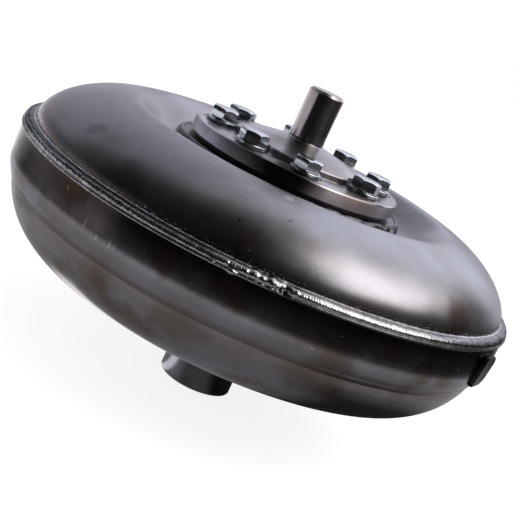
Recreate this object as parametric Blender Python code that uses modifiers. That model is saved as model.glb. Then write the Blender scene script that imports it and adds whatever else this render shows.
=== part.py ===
# Torque converter with a bolted pilot flange, standing on the end of its hub.
# The axis is +Z and points to the engine side. The origin is the centre of the hub's end face.
# Lengths are in metres. A section point is written as (radius, height).

import math

import bmesh
import bpy
from mathutils import Matrix

MM = 0.001
GAP = 0.3 * MM                   # air between two pieces that touch
RUNNING_GAP = 0.3 * MM           # air between two pieces that turn against each other

# Facets round the pieces
SHELL_SIDES = 36
INNER_SIDES = 28
RING_SIDES = 24
HOLE_SIDES = 12
ROLLER_SIDES = 10
SHANK_SIDES = 10
RIVET_SIDES = 8
NEEDLE_SIDES = 8
WASHER_STEPS = 11
ARC_STEPS = 5                    # straight steps in each quarter of a shell's section
EYE_STEPS = 3                    # straight steps from a shell's lowest or highest circle to its eye

# Sheet shells
SHEET = 4.5 * MM                 # wall of the cover and of the impeller shell
COVER_RADIUS = 138.0 * MM        # outside of the cover where it enters the skirt
COVER_LAP = 11.5 * MM            # how far the cover's lip reaches into the skirt
SHOULDER_RISE = 5.8 * MM         # from the skirt's top to where the cover turns inwards
CROWN_RADIUS = 92.4 * MM         # highest circle of the cover
CROWN_RISE = 28.8 * MM           # from the shoulder up to the crown
CROWN_FULLNESS = 1.7             # 2 would be an ellipse
DISH_DROP = 14.1 * MM            # from the crown down to the flat floor inside it
DISH_MARGIN = 0.1 * MM           # floor left free round the ring's weld
DISH_STEPS = 3

SKIRT_RISE = 11.9 * MM           # from the bowl's widest circle to the top of the skirt that laps the cover
SKIRT_WIDTH = 17.0 * MM
STEP_DROP = 5.7 * MM             # rounded step from the skirt down to the bowl
STEP_INSET = 1.6 * MM
BOWL_CENTRE_RADIUS = 99.2 * MM   # lowest circle of the bowl
BOWL_SETBACK = 2.1 * MM          # from the skirt's side in to the bowl's
BOWL_INNER_REACH = 63.4 * MM     # from the lowest circle in towards the hub
BOWL_DEPTH = 46.5 * MM
BOWL_FULLNESS = 2.09
BOWL_START = 20.5                # degrees below level where the bowl leaves the step
EYE_RISE = 13.9 * MM             # from the bowl's lowest circle up to the flat round the hub
EYE_RADIUS = 44.0 * MM

# Weld beads
SEAM_RISE = 5.5 * MM             # from the skirt's top to the bead's
SEAM_STAND = 1.2 * MM            # how far the bead stands out past the skirt
BEAD_LEG = 3.6 * MM              # leg of the two small fillet welds

# Mounting ring and pilot flange; their widths count from the bolt circle
BOLT_CIRCLE = 46.0 * MM
RING_INNER_WIDTH = 10.0 * MM
RING_SEAT_WIDTH = 9.0 * MM
RING_LEDGE_WIDTH = 11.0 * MM
RING_THICKNESS = 9.8 * MM
RING_LEDGE_DROP = 4.3 * MM       # from the ring's seat down to its ledge
FLANGE_OUTER_WIDTH = 14.0 * MM
FLANGE_THICKNESS = 8.1 * MM
FLANGE_EDGE = 0.8 * MM           # chamfer on the rim
SPIGOT_LENGTH = 4.0 * MM         # locates the flange in the ring
CONE_SETBACK = 7.2 * MM          # from the bolt circle in to the cone's edge
CONE_EDGE_RISE = 3.8 * MM        # height of the cone's edge above the flange
CONE_RISE = 9.7 * MM             # height of the cone's tip above the flange
PILOT_RADIUS = 10.0 * MM
PILOT_LENGTH = 28.8 * MM
PILOT_CHAMFER = 1.5 * MM
PILOT_FILLET = 1.6 * MM

# Flange bolts
BOLT_COUNT = 8
BOLT_PHASE = 8.0                 # degrees from -Y towards +X to the first bolt
BOLT_STAGGER = 4.5               # degrees by which every second bolt stands past even spacing
BOLT_RADIUS = 5.0 * MM
BOLT_LENGTH = 18.0 * MM
HEAD_ACROSS_FLATS = 14.0 * MM
HEAD_HEIGHT = 5.8 * MM
HEAD_CHAMFER = 0.8 * MM
HOLE_PLAY = 0.5 * MM             # radial room for the bolt in the flange
SEAT_MARGIN = 1.2 * MM           # spot face left free round each washer
SEAT_DEPTH = 0.3 * MM
WASHER_WIDTH = 3.7 * MM
WASHER_THICKNESS = 2.2 * MM
WASHER_SPLIT = 14.0              # degrees of the gap in the spring washer

# Balance weight
WEIGHT_WIDTH = 17.0 * MM
WEIGHT_HEIGHT = 18.0 * MM
WEIGHT_THICKNESS = 2.5 * MM
WEIGHT_CORNER = 4.0 * MM
WEIGHT_PHASE = 66.3              # degrees from -Y towards +X
WEIGHT_DROP = 12.5 * MM          # from the skirt's top to the weight's middle

# Hub
HUB_LENGTH = 57.0 * MM           # from its end to the flat of the impeller shell
HUB_RADIUS = 21.0 * MM
HUB_WALL = 4.0 * MM
HUB_CHAMFER = 1.2 * MM
HUB_FLANGE_THICKNESS = 9.0 * MM

# Flow passage
CORE_INSET = 1.2 * MM            # from the bowl's lowest circle in to the core's centre
CORE_DROP = 1.3 * MM             # from the bowl's widest circle down to the core's centre
CORE_RADIUS = 17.0 * MM
CORE_SHEET = 1.2 * MM
CORE_START = 6.0                 # degrees from the middle plane to a core ring's outer edge
CORE_END = 145.0
BLADE_SHEET = 1.2 * MM
BLADE_STEPS = 4
BLADE_ROOT = 0.9 * MM            # how deep a blade's root lies in the core sheet
BLADE_CLEARANCE = 1.4 * MM       # from a shell's wall to a blade's edge
IMPELLER_BLADE_COUNT = 27
IMPELLER_BLADE_SWEEP = 14.0
TURBINE_BLADE_COUNT = 25
TURBINE_BLADE_SWEEP = -38.0

# Turbine
TURBINE_SHEET = 2.0 * MM
TURBINE_LIFT = 1.2 * MM          # from the core's centre up to the turbine's
TURBINE_SIDE_ROOM = 2.0 * MM     # between the turbine's side and the cover
TURBINE_TOP_ROOM = 8.6 * MM      # between the turbine's top and the crown
TURBINE_INNER_REACH = 40.0 * MM
TURBINE_EYE_DROP = 15.0 * MM     # from the turbine's top to the flat round its hub
TURBINE_BARREL_MARGIN = 1.7 * MM # barrel outside the boss that carries the bearing
TURBINE_FLANGE_WIDTH = 14.0 * MM
TURBINE_FLANGE_THICKNESS = 3.0 * MM
SPLINE_TEETH = 16
SPLINE_DEPTH = 1.2 * MM
SUPPORT_WALL = 3.4 * MM          # room for the stator support between the two splines
RIVET_COUNT = 6
RIVET_RADIUS = 2.0 * MM
RIVET_HEAD_RADIUS = 3.6 * MM
RIVET_HEAD = 1.6 * MM

# Thrust bearings
RACE = 1.0 * MM                  # thickness of a thrust race
NEEDLE_RADIUS = 1.0 * MM
NEEDLE_COUNT = 14
NEEDLE_MARGIN = 1.5 * MM         # cage left at each end of a needle
CAGE = 1.4 * MM
BEARING_WIDTH = 11.0 * MM
REAR_BEARING_SETBACK = 1.0 * MM  # from the edge of the hub's flange
FRONT_BEARING_BORE = 21.0 * MM

# Stator and its one-way clutch
STATOR_WALL = 6.0 * MM
STATOR_WEB = 2.0 * MM
STATOR_SHROUD = 2.0 * MM
STATOR_BLADE_COUNT = 13
STATOR_BLADE_HEIGHT = 17.0 * MM
STATOR_BLADE_LEAN = 9.0 * MM
STATOR_BLADE_THICKNESS = 4.6 * MM
CLUTCH_WIDTH = 22.0 * MM
PLATE = 2.0 * MM
SNAP_RING = 1.5 * MM
SNAP_RING_DEPTH = 1.0 * MM       # how far the snap ring enters its groove
SNAP_RING_WIDTH = 3.5 * MM
SNAP_RING_SPLIT = 16.0           # degrees of its gap
THRUST_WASHER = 2.0 * MM
THRUST_WASHER_SETBACK = 3.5 * MM # from the roots of the race's spline to the washer's bore
RACE_RADIUS = 30.0 * MM          # inner race on which the rollers lock
RACE_SPLINE_SETBACK = 1.2 * MM   # from the hub's bore in to the spline's roots
RACE_BORE_PLAY = 0.6 * MM
ROLLER_COUNT = 6
ROLLER_RADIUS = 4.0 * MM
POCKET_BEFORE = 8.5              # degrees of the roller's pocket before and after it
POCKET_AFTER = 22.0
POCKET_RISE = 0.7 * MM           # how much higher the pocket's roof is at its spring end
CAM_CLEARANCE = 2.0 * MM         # from the race to the cam's lands
CAM_WALL = 6.25 * MM
SPRING_STRIP = 1.0 * MM          # folded strip, measured along the radius
SPRING_FOLDS = 4

FINISHES = {
    "cover_steel": ((0.36, 0.36, 0.38), 0.9, 0.38),
    "machined_steel": ((0.55, 0.55, 0.57), 1.0, 0.28),
    "weld_steel": ((0.30, 0.30, 0.31), 0.9, 0.45),
    "zinc_plate": ((0.52, 0.53, 0.56), 1.0, 0.30),
    "dark_steel": ((0.20, 0.20, 0.21), 0.9, 0.40),
    "stamped_steel": ((0.40, 0.40, 0.41), 0.9, 0.40),
    "cast_aluminium": ((0.62, 0.62, 0.63), 0.9, 0.50),
    "bearing_steel": ((0.60, 0.60, 0.62), 1.0, 0.20),
    "spring_steel": ((0.28, 0.29, 0.33), 1.0, 0.30),
    "phenolic": ((0.20, 0.11, 0.06), 0.0, 0.60),
}


def clear_scene():
    for obj in list(bpy.data.objects):
        bpy.data.objects.remove(obj, do_unlink=True)


def make_collection(name):
    collection = bpy.data.collections.new(name)
    bpy.context.scene.collection.children.link(collection)
    return collection


def make_finishes():
    finishes = {}
    for name, (color, metallic, roughness) in FINISHES.items():
        finish = bpy.data.materials.new(name)
        finish.use_nodes = True
        shader = finish.node_tree.nodes["Principled BSDF"]
        shader.inputs["Base Color"].default_value = (*color, 1.0)
        shader.inputs["Metallic"].default_value = metallic
        shader.inputs["Roughness"].default_value = roughness
        finishes[name] = finish
    return finishes


clear_scene()
parts = make_collection("torque_converter")
cutters = make_collection("cutters")
finishes = make_finishes()


# Section and outline points

def polar(radius, degrees):
    angle = math.radians(degrees)
    return (radius * math.cos(angle), radius * math.sin(angle))


def phase_angle(degrees):
    """The usual angle from +X for one counted from -Y towards +X."""
    return degrees - 90.0


def circle(radius, sides):
    return [polar(radius, 360.0 * i / sides) for i in range(sides)]


def oval(centre, reach, rise, fullness, degrees):
    """A point of a superellipse; 0 degrees is outwards and 90 is up."""
    c = math.cos(math.radians(degrees))
    s = math.sin(math.radians(degrees))
    across = math.copysign(abs(c) ** (2.0 / fullness), c)
    up = math.copysign(abs(s) ** (2.0 / fullness), s)
    return (centre[0] + reach * across, centre[1] + rise * up)


def sweep(start, end, steps):
    return [start + (end - start) * i / steps for i in range(steps + 1)]


def box_section(inner, outer, low, high):
    return [(outer, high), (outer, low), (inner, low), (inner, high)]


# Objects

def place(name, data, finish, home=None):
    obj = bpy.data.objects.new(name, data)
    (home or parts).objects.link(obj)
    if finish:
        data.materials.clear()
        data.materials.append(finishes[finish])
    return obj


def turned(name, section, finish, closed=True, wall=0.0, sides=INNER_SIDES, home=None):
    """Turn a section round the axis. It runs down the piece's outer side."""
    mesh = bpy.data.meshes.new(name)
    edges = [(i, i + 1) for i in range(len(section) - 1)]
    if closed:
        edges.append((len(section) - 1, 0))
    mesh.from_pydata([(r, 0.0, z) for r, z in section], edges, [])
    obj = place(name, mesh, finish, home)
    screw = obj.modifiers.new("turn", "SCREW")
    screw.axis = "Z"
    screw.angle = 2.0 * math.pi
    screw.steps = screw.render_steps = sides
    screw.use_merge_vertices = True
    screw.merge_threshold = 0.00005
    if wall:
        solid = obj.modifiers.new("wall", "SOLIDIFY")
        solid.thickness = wall
        solid.offset = -1.0
        solid.use_even_offset = True
    return obj


def slab(name, outlines, low, high, finish, turn=None, home=None):
    """A flat outline, with any holes, given its thickness from low to high."""
    curve = bpy.data.curves.new(name, "CURVE")
    curve.dimensions = "2D"
    curve.fill_mode = "BOTH"
    curve.extrude = (high - low) / 2.0
    for outline in outlines:
        spline = curve.splines.new("POLY")
        spline.points.add(len(outline) - 1)
        for point, (x, y) in zip(spline.points, outline):
            point.co = (x, y, 0.0, 1.0)
        spline.use_cyclic_u = True
    flat = place(name + "_outline", curve, None, cutters)
    flat.location.z = (low + high) / 2.0
    mesh = plain_mesh(flat)
    mesh.transform(flat.matrix_world)
    mesh.transform(turn or Matrix.Identity(4))
    bpy.data.objects.remove(flat, do_unlink=True)
    work = bmesh.new()
    work.from_mesh(mesh)
    bmesh.ops.remove_doubles(work, verts=work.verts, dist=0.000005)
    work.to_mesh(mesh)
    work.free()
    return place(name, mesh, finish, home)


def cylinder(name, radius, length, sides, matrix, finish, home=None):
    work = bmesh.new()
    bmesh.ops.create_cone(work, cap_ends=True, segments=sides, radius1=radius, radius2=radius, depth=length,
                          matrix=matrix)
    mesh = bpy.data.meshes.new(name)
    work.to_mesh(mesh)
    work.free()
    return place(name, mesh, finish, home)


def repeat(obj, count):
    """Give one object several copies of its shape, evenly spaced round the axis."""
    step = bpy.data.objects.new(obj.name + "_step", None)
    cutters.objects.link(step)
    step.rotation_euler.z = 2.0 * math.pi / count
    array = obj.modifiers.new("round", "ARRAY")
    array.count = count
    array.use_relative_offset = False
    array.use_object_offset = True
    array.offset_object = step
    return obj


def even_turns(count):
    return [360.0 * i / count for i in range(count)]


def copies(obj, turns):
    """Separate pieces that share one mesh, each turned round the axis by so many degrees."""
    mesh = plain_mesh(obj)
    name = obj.name
    bpy.data.objects.remove(obj, do_unlink=True)
    for number, turn in enumerate(turns, 1):
        piece = bpy.data.objects.new(f"{name}_{number}", mesh)
        parts.objects.link(piece)
        piece.rotation_euler.z = math.radians(turn)


def boolean(obj, other, operation):
    modifier = obj.modifiers.new(other.name, "BOOLEAN")
    modifier.operation = operation
    modifier.solver = "EXACT"
    modifier.object = other
    other.hide_render = True
    other.display_type = "WIRE"
    return obj


def cut(obj, other):
    return boolean(obj, other, "DIFFERENCE")


def join(obj, other):
    return boolean(obj, other, "UNION")


def plain_mesh(obj):
    """The piece's shape with its modifiers applied."""
    bpy.context.view_layer.update()
    graph = bpy.context.evaluated_depsgraph_get()
    return bpy.data.meshes.new_from_object(obj.evaluated_get(graph))


def move_to(obj, radius, degrees):
    """Set a piece that was made on the axis at its place on a circle."""
    obj.data = plain_mesh(obj)
    obj.modifiers.clear()
    x, y = polar(radius, degrees)
    obj.data.transform(Matrix.Translation((x, y, 0.0)) @ Matrix.Rotation(math.radians(degrees), 4, "Z"))
    return obj


def settle():
    """Turn every piece into a plain mesh, smooth on its round sides."""
    shaped = [obj for obj in parts.objects if obj.modifiers]
    meshes = [plain_mesh(obj) for obj in shaped]
    for obj, mesh in zip(shaped, meshes):
        obj.modifiers.clear()
        obj.data = mesh
    for mesh in {obj.data for obj in parts.objects}:
        mesh.shade_smooth()
        mesh.set_sharp_from_angle(angle=math.radians(32.0))


# Radii and heights that follow from the driving dimensions
skirt_bore = COVER_RADIUS + GAP
skirt_radius = skirt_bore + SHEET
seam_bulge = skirt_radius + SEAM_STAND
bowl_reach = skirt_radius - BOWL_SETBACK - BOWL_CENTRE_RADIUS
hub_bore = HUB_RADIUS - HUB_WALL
core_centre_radius = BOWL_CENTRE_RADIUS - CORE_INSET

ring_bore = BOLT_CIRCLE - RING_INNER_WIDTH
ring_seat_radius = BOLT_CIRCLE + RING_SEAT_WIDTH
ring_outer = ring_seat_radius + RING_LEDGE_WIDTH
dish_radius = ring_outer + GAP + BEAD_LEG + DISH_MARGIN
flange_radius = BOLT_CIRCLE + FLANGE_OUTER_WIDTH
cone_radius = BOLT_CIRCLE - CONE_SETBACK
washer_bore = BOLT_RADIUS + GAP
washer_radius = washer_bore + WASHER_WIDTH
seat_radius = washer_radius + SEAT_MARGIN

roller_circle = RACE_RADIUS + GAP + ROLLER_RADIUS
cam_roof = roller_circle + ROLLER_RADIUS + 1.5 * GAP
cam_land = RACE_RADIUS + CAM_CLEARANCE
stator_bore = cam_roof + POCKET_RISE + CAM_WALL + GAP
stator_hub_radius = stator_bore + STATOR_WALL
shroud_radius = core_centre_radius - CORE_RADIUS
race_spline_root = hub_bore - RACE_SPLINE_SETBACK
race_spline_tip = race_spline_root - SPLINE_DEPTH
turbine_spline_root = race_spline_tip - SUPPORT_WALL
turbine_spline_tip = turbine_spline_root - SPLINE_DEPTH

front_bearing_mean = FRONT_BEARING_BORE + BEARING_WIDTH / 2.0
rear_bearing_mean = EYE_RADIUS - REAR_BEARING_SETBACK - BEARING_WIDTH / 2.0
turbine_boss = FRONT_BEARING_BORE + BEARING_WIDTH + GAP
turbine_barrel = turbine_boss + TURBINE_BARREL_MARGIN
turbine_flange_radius = turbine_barrel + TURBINE_FLANGE_WIDTH
rivet_circle = (turbine_barrel + turbine_flange_radius) / 2.0

eye_height = HUB_LENGTH
bowl_centre_height = eye_height - EYE_RISE + BOWL_DEPTH
skirt_top = bowl_centre_height + SKIRT_RISE
skirt_foot = skirt_top - SKIRT_WIDTH
seam_top = skirt_top + SEAM_RISE
cover_lip_height = skirt_top - COVER_LAP
shoulder_height = skirt_top + SHOULDER_RISE
crown_height = shoulder_height + CROWN_RISE
dish_height = crown_height - DISH_DROP
core_middle = bowl_centre_height - CORE_DROP
hub_flange_top = eye_height + HUB_FLANGE_THICKNESS

bowl_centre = (BOWL_CENTRE_RADIUS, bowl_centre_height)
crown_centre = (CROWN_RADIUS, shoulder_height)
turbine_centre = (core_centre_radius, core_middle + TURBINE_LIFT)
turbine_reach = COVER_RADIUS - SHEET - TURBINE_SIDE_ROOM - core_centre_radius
turbine_rise = crown_height - SHEET - TURBINE_TOP_ROOM - turbine_centre[1]
turbine_eye_height = turbine_centre[1] + turbine_rise - TURBINE_EYE_DROP

needle_height = 2.0 * NEEDLE_RADIUS
rear_race_low = hub_flange_top + GAP
rear_needle_low = rear_race_low + RACE + RUNNING_GAP
stator_race_low = rear_needle_low + needle_height + RUNNING_GAP
stator_low = stator_race_low + RACE + GAP
clutch_low = stator_low + STATOR_WEB + GAP
clutch_high = clutch_low + CLUTCH_WIDTH
plate_low = clutch_high + GAP
plate_high = plate_low + PLATE
snap_low = plate_high + GAP
snap_high = snap_low + SNAP_RING
stator_high = snap_high + GAP + SNAP_RING
washer_low = plate_high + GAP
washer_high = washer_low + THRUST_WASHER
turbine_hub_low = washer_high + RUNNING_GAP

cover_race_high = dish_height - SHEET - GAP
cover_race_low = cover_race_high - RACE
front_needle_low = cover_race_low - RUNNING_GAP - needle_height
turbine_race_low = front_needle_low - RUNNING_GAP - RACE
turbine_hub_high = turbine_race_low - GAP
turbine_flange_low = turbine_eye_height + GAP
turbine_flange_high = turbine_flange_low + TURBINE_FLANGE_THICKNESS

ring_low = dish_height + GAP
ring_seat = ring_low + RING_THICKNESS
ledge_height = ring_seat - RING_LEDGE_DROP
flange_underside = ring_seat + GAP
flange_top = flange_underside + FLANGE_THICKNESS
cone_tip_height = flange_top + CONE_RISE
pilot_height = cone_tip_height + PILOT_LENGTH
seat_height = flange_top - SEAT_DEPTH
head_seat = seat_height + GAP + WASHER_THICKNESS + GAP
shank_end = head_seat - BOLT_LENGTH
tapped_radius = BOLT_RADIUS + GAP


# Outer shells

def front_cover():
    section = [(0.0, dish_height), (dish_radius, dish_height)]
    for i in range(1, DISH_STEPS):
        share = i / DISH_STEPS
        lift = (1.0 - math.cos(math.pi * share)) / 2.0
        section.append((dish_radius + (CROWN_RADIUS - dish_radius) * share,
                        dish_height + (crown_height - dish_height) * lift))
    for degrees in sweep(90.0, 0.0, ARC_STEPS):
        section.append(oval(crown_centre, COVER_RADIUS - CROWN_RADIUS,
                            crown_height - shoulder_height, CROWN_FULLNESS, degrees))
    section.append((COVER_RADIUS, cover_lip_height))
    return turned("front_cover", section, "cover_steel", closed=False, wall=SHEET, sides=SHELL_SIDES)


def bowl_point(degrees, inset=0.0):
    """A point of the impeller shell's bowl, or of its wall that far inside."""
    inwards = math.cos(math.radians(degrees)) < 0.0
    reach = BOWL_INNER_REACH if inwards else bowl_reach
    return oval(bowl_centre, reach - inset, BOWL_DEPTH - inset, BOWL_FULLNESS, degrees)


def bowl_eye_angle():
    """Where the inner side of the bowl meets the flat round the hub."""
    rise = (bowl_centre_height - eye_height) / BOWL_DEPTH
    return -180.0 + math.degrees(math.asin(rise ** (BOWL_FULLNESS / 2.0)))


def impeller_shell():
    section = [(skirt_radius, skirt_top), (skirt_radius, skirt_foot),
               (skirt_radius - STEP_INSET, skirt_foot - STEP_DROP)]
    section += [bowl_point(degrees) for degrees in sweep(-BOWL_START, -90.0, ARC_STEPS)]
    section += [bowl_point(degrees) for degrees in sweep(-90.0, bowl_eye_angle(), EYE_STEPS)[1:]]
    section.append((EYE_RADIUS, eye_height))
    return turned("impeller_shell", section, "cover_steel", closed=False, wall=SHEET, sides=SHELL_SIDES)


def seam_weld():
    foot = skirt_top + GAP
    rise = seam_top - foot
    bulge = seam_bulge - skirt_bore
    section = [(skirt_bore, seam_top), (skirt_bore + 0.55 * bulge, seam_top - 0.12 * rise),
               (skirt_bore + 0.9 * bulge, seam_top - 0.45 * rise),
               (seam_bulge, foot + 0.25 * rise), (skirt_radius, foot), (skirt_bore, foot)]
    return turned("seam_weld", section, "weld_steel", sides=SHELL_SIDES)


def balance_weight():
    outline = []
    half_width = WEIGHT_WIDTH / 2.0 - WEIGHT_CORNER
    half_height = WEIGHT_HEIGHT / 2.0 - WEIGHT_CORNER
    for corner, (side, up) in enumerate([(1, 1), (-1, 1), (-1, -1), (1, -1)]):
        for degrees in sweep(90.0 * corner, 90.0 * corner + 90.0, 3):
            x, y = polar(WEIGHT_CORNER, degrees)
            outline.append((side * half_width + x, up * half_height + y))
    seat = skirt_radius + GAP
    upright = Matrix.Rotation(math.pi / 2.0, 4, "Z") @ Matrix.Rotation(math.pi / 2.0, 4, "X")
    obj = slab("balance_weight", [outline], seat, seat + WEIGHT_THICKNESS, "cover_steel", turn=upright)
    lift = Matrix.Translation((0.0, 0.0, skirt_top - WEIGHT_DROP))
    spin = Matrix.Rotation(math.radians(phase_angle(WEIGHT_PHASE)), 4, "Z")
    obj.data.transform(lift @ spin)
    return obj


# Pilot flange, its ring and its bolts

def bolt_turns():
    """Each bolt's angle from the first: they stand in four pairs."""
    turns = even_turns(BOLT_COUNT)
    turns[1::2] = [turn + BOLT_STAGGER for turn in turns[1::2]]
    return turns


def bolt_cutter(name, radius, low, high):
    """One bar for each bolt, in one cutter."""
    upright = Matrix.Translation((0.0, 0.0, (low + high) / 2.0))
    cutter = cylinder(name, radius, high - low, HOLE_SIDES, upright, None, cutters)
    move_to(cutter, BOLT_CIRCLE, phase_angle(BOLT_PHASE))
    bars = bmesh.new()
    for turn in bolt_turns():
        bar = cutter.data.copy()
        bar.transform(Matrix.Rotation(math.radians(turn), 4, "Z"))
        bars.from_mesh(bar)
    bars.to_mesh(cutter.data)
    bars.free()
    return cutter


def boss_ring():
    section = [(ring_seat_radius, ring_seat), (ring_seat_radius, ledge_height), (ring_outer, ledge_height),
               (ring_outer, ring_low), (ring_bore, ring_low), (ring_bore, ring_seat)]
    ring = turned("boss_ring", section, "dark_steel", sides=SHELL_SIDES)
    return cut(ring, bolt_cutter("tapped_holes", tapped_radius, ring_low - SHEET / 2.0, ring_seat + SHEET))


def boss_ring_weld():
    inner = ring_outer + GAP
    section = [(inner, ring_low + BEAD_LEG), (inner + BEAD_LEG, ring_low), (inner, ring_low)]
    return turned("boss_ring_weld", section, "weld_steel", sides=SHELL_SIDES)


def pilot_flange():
    spigot = ring_bore - GAP
    cone_edge = flange_top + CONE_EDGE_RISE
    section = [(0.0, pilot_height), (PILOT_RADIUS - PILOT_CHAMFER, pilot_height),
               (PILOT_RADIUS, pilot_height - PILOT_CHAMFER), (PILOT_RADIUS, cone_tip_height + PILOT_FILLET),
               (PILOT_RADIUS + PILOT_FILLET, cone_tip_height), (cone_radius - FLANGE_EDGE, cone_edge),
               (cone_radius, cone_edge - FLANGE_EDGE), (cone_radius, flange_top),
               (flange_radius - FLANGE_EDGE, flange_top), (flange_radius, flange_top - FLANGE_EDGE),
               (flange_radius, flange_underside + FLANGE_EDGE),
               (flange_radius - FLANGE_EDGE, flange_underside), (spigot, flange_underside),
               (spigot, flange_underside - SPIGOT_LENGTH), (0.0, flange_underside - SPIGOT_LENGTH)]
    flange = turned("pilot_flange", section, "machined_steel", closed=False, sides=SHELL_SIDES)
    cut(flange, bolt_cutter("spot_faces", seat_radius, seat_height, cone_tip_height))
    return cut(flange, bolt_cutter("flange_holes", BOLT_RADIUS + HOLE_PLAY,
                                   flange_underside - SPIGOT_LENGTH / 2.0, seat_height + SEAT_DEPTH))


def flange_bolts():
    corner = HEAD_ACROSS_FLATS / 2.0 / math.cos(math.pi / 6.0)
    top = head_seat + HEAD_HEIGHT
    head = turned("flange_bolt", [(0.0, top), (corner - HEAD_CHAMFER, top), (corner, top - HEAD_CHAMFER),
                                  (corner, head_seat), (0.0, head_seat)], "zinc_plate",
                  closed=False, sides=6)
    overlap = HEAD_HEIGHT / 2.0
    shank = turned("bolt_shank", [(0.0, head_seat + overlap), (BOLT_RADIUS, head_seat + overlap),
                                  (BOLT_RADIUS, shank_end), (0.0, shank_end)], None,
                   closed=False, sides=SHANK_SIDES, home=cutters)
    degrees = phase_angle(BOLT_PHASE)
    join(move_to(head, BOLT_CIRCLE, degrees), move_to(shank, BOLT_CIRCLE, degrees))
    copies(head, bolt_turns())


def split_ring(inner, outer, opening, steps):
    """Outline of an open ring; opening is the gap's angle."""
    angles = sweep(opening / 2.0, 360.0 - opening / 2.0, steps)
    return [polar(outer, d) for d in angles] + [polar(inner, d) for d in reversed(angles)]


def spring_washers():
    low = seat_height + GAP
    outline = split_ring(washer_bore, washer_radius, WASHER_SPLIT, WASHER_STEPS)
    washer = slab("spring_washer", [outline], low, low + WASHER_THICKNESS, "zinc_plate")
    copies(move_to(washer, BOLT_CIRCLE, phase_angle(BOLT_PHASE)), bolt_turns())


# Hub

def impeller_hub():
    edge = EYE_RADIUS - GAP
    section = [(edge, hub_flange_top), (edge, eye_height), (HUB_RADIUS, eye_height),
               (HUB_RADIUS, HUB_CHAMFER), (HUB_RADIUS - HUB_CHAMFER, 0.0), (hub_bore, 0.0),
               (hub_bore, hub_flange_top)]
    return turned("impeller_hub", section, "dark_steel")


def hub_weld():
    top = eye_height - GAP
    section = [(EYE_RADIUS + BEAD_LEG, top), (EYE_RADIUS, top - BEAD_LEG), (EYE_RADIUS - BEAD_LEG, top)]
    return turned("hub_weld", section, "weld_steel")


# Blade wheels

def core_point(side, degrees, depth=0.0):
    """A point of a core ring, or that deep in its sheet; side is -1 below the middle plane, 1 above."""
    centre = (core_centre_radius, core_middle)
    return oval(centre, CORE_RADIUS - depth, CORE_RADIUS - depth, 2.0, side * degrees)


def core_ring(name, side):
    angles = sweep(CORE_START, CORE_END, BLADE_STEPS)
    if side > 0:
        angles.reverse()
    section = [core_point(side, degrees) for degrees in angles]
    return turned(name, section, None, closed=False, wall=CORE_SHEET, home=cutters)


def blade_wheel(name, side, wall, sweep_angle, count):
    """Curved sheet blades, brazed to a core ring, that reach to a shell's wall."""
    grid = bmesh.new()
    bmesh.ops.create_grid(grid, x_segments=BLADE_STEPS, y_segments=1, size=0.5)
    for vert in grid.verts:
        along = vert.co.x + 0.5
        on_core = core_point(side, CORE_START + (CORE_END - CORE_START) * along, BLADE_ROOT)
        radius, height = wall(along) if vert.co.y < 0.0 else on_core
        x, y = polar(radius, sweep_angle * along * along)
        vert.co = (x, y, height)
    mesh = bpy.data.meshes.new(name)
    grid.to_mesh(mesh)
    grid.free()
    blade = place(name, mesh, "stamped_steel")
    solid = blade.modifiers.new("sheet", "SOLIDIFY")
    solid.thickness = BLADE_SHEET
    solid.offset = 0.0
    return join(repeat(blade, count), core_ring(name + "_core", side))


def impeller_blade_ring():
    inset = SHEET + BLADE_CLEARANCE
    start = -CORE_START / 2.0
    end = bowl_eye_angle() + CORE_START / 2.0

    def wall(along):
        return bowl_point(start + (end - start) * along, inset)

    return blade_wheel("impeller_blade_ring", -1, wall, IMPELLER_BLADE_SWEEP, IMPELLER_BLADE_COUNT)


def turbine_point(degrees, inset=0.0):
    inwards = math.cos(math.radians(degrees)) < 0.0
    reach = TURBINE_INNER_REACH if inwards else turbine_reach
    return oval(turbine_centre, reach - inset, turbine_rise - inset, 2.0, degrees)


def turbine_eye_angle():
    return 180.0 - math.degrees(math.asin((turbine_eye_height - turbine_centre[1]) / turbine_rise))


def turbine_shell():
    section = [(turbine_barrel + GAP, turbine_eye_height)]
    section += [turbine_point(degrees) for degrees in sweep(turbine_eye_angle(), 90.0, EYE_STEPS)]
    section += [turbine_point(degrees) for degrees in sweep(90.0, 0.0, ARC_STEPS)[1:]]
    shell = turned("turbine_shell", section, "stamped_steel", closed=False, wall=TURBINE_SHEET)
    return cut(shell, rivet_cutter("shell_rivet_holes"))


def turbine_blade_ring():
    inset = TURBINE_SHEET + BLADE_CLEARANCE
    start = CORE_START / 2.0
    end = turbine_eye_angle() - CORE_START / 2.0

    def wall(along):
        return turbine_point(start + (end - start) * along, inset)

    return blade_wheel("turbine_blade_ring", 1, wall, TURBINE_BLADE_SWEEP, TURBINE_BLADE_COUNT)


# Turbine hub and rivets

def spline_cutter(name, root, tip, low, high):
    """A toothed bar: cutting with it leaves the teeth of a splined bore."""
    outline = []
    pitch = 360.0 / SPLINE_TEETH
    for tooth in range(SPLINE_TEETH):
        start = tooth * pitch
        outline += [polar(tip, start), polar(tip, start + 0.45 * pitch),
                    polar(root, start + 0.55 * pitch), polar(root, start + 0.9 * pitch)]
    return slab(name, [outline], low, high, None, home=cutters)


def rivet_cutter(name):
    low = turbine_eye_height - 2.0 * TURBINE_SHEET
    high = turbine_flange_high + TURBINE_SHEET
    upright = Matrix.Translation((0.0, 0.0, (low + high) / 2.0))
    bar = cylinder(name, RIVET_RADIUS + GAP, high - low, RIVET_SIDES, upright, None, cutters)
    return repeat(move_to(bar, rivet_circle, 0.0), RIVET_COUNT)


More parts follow.
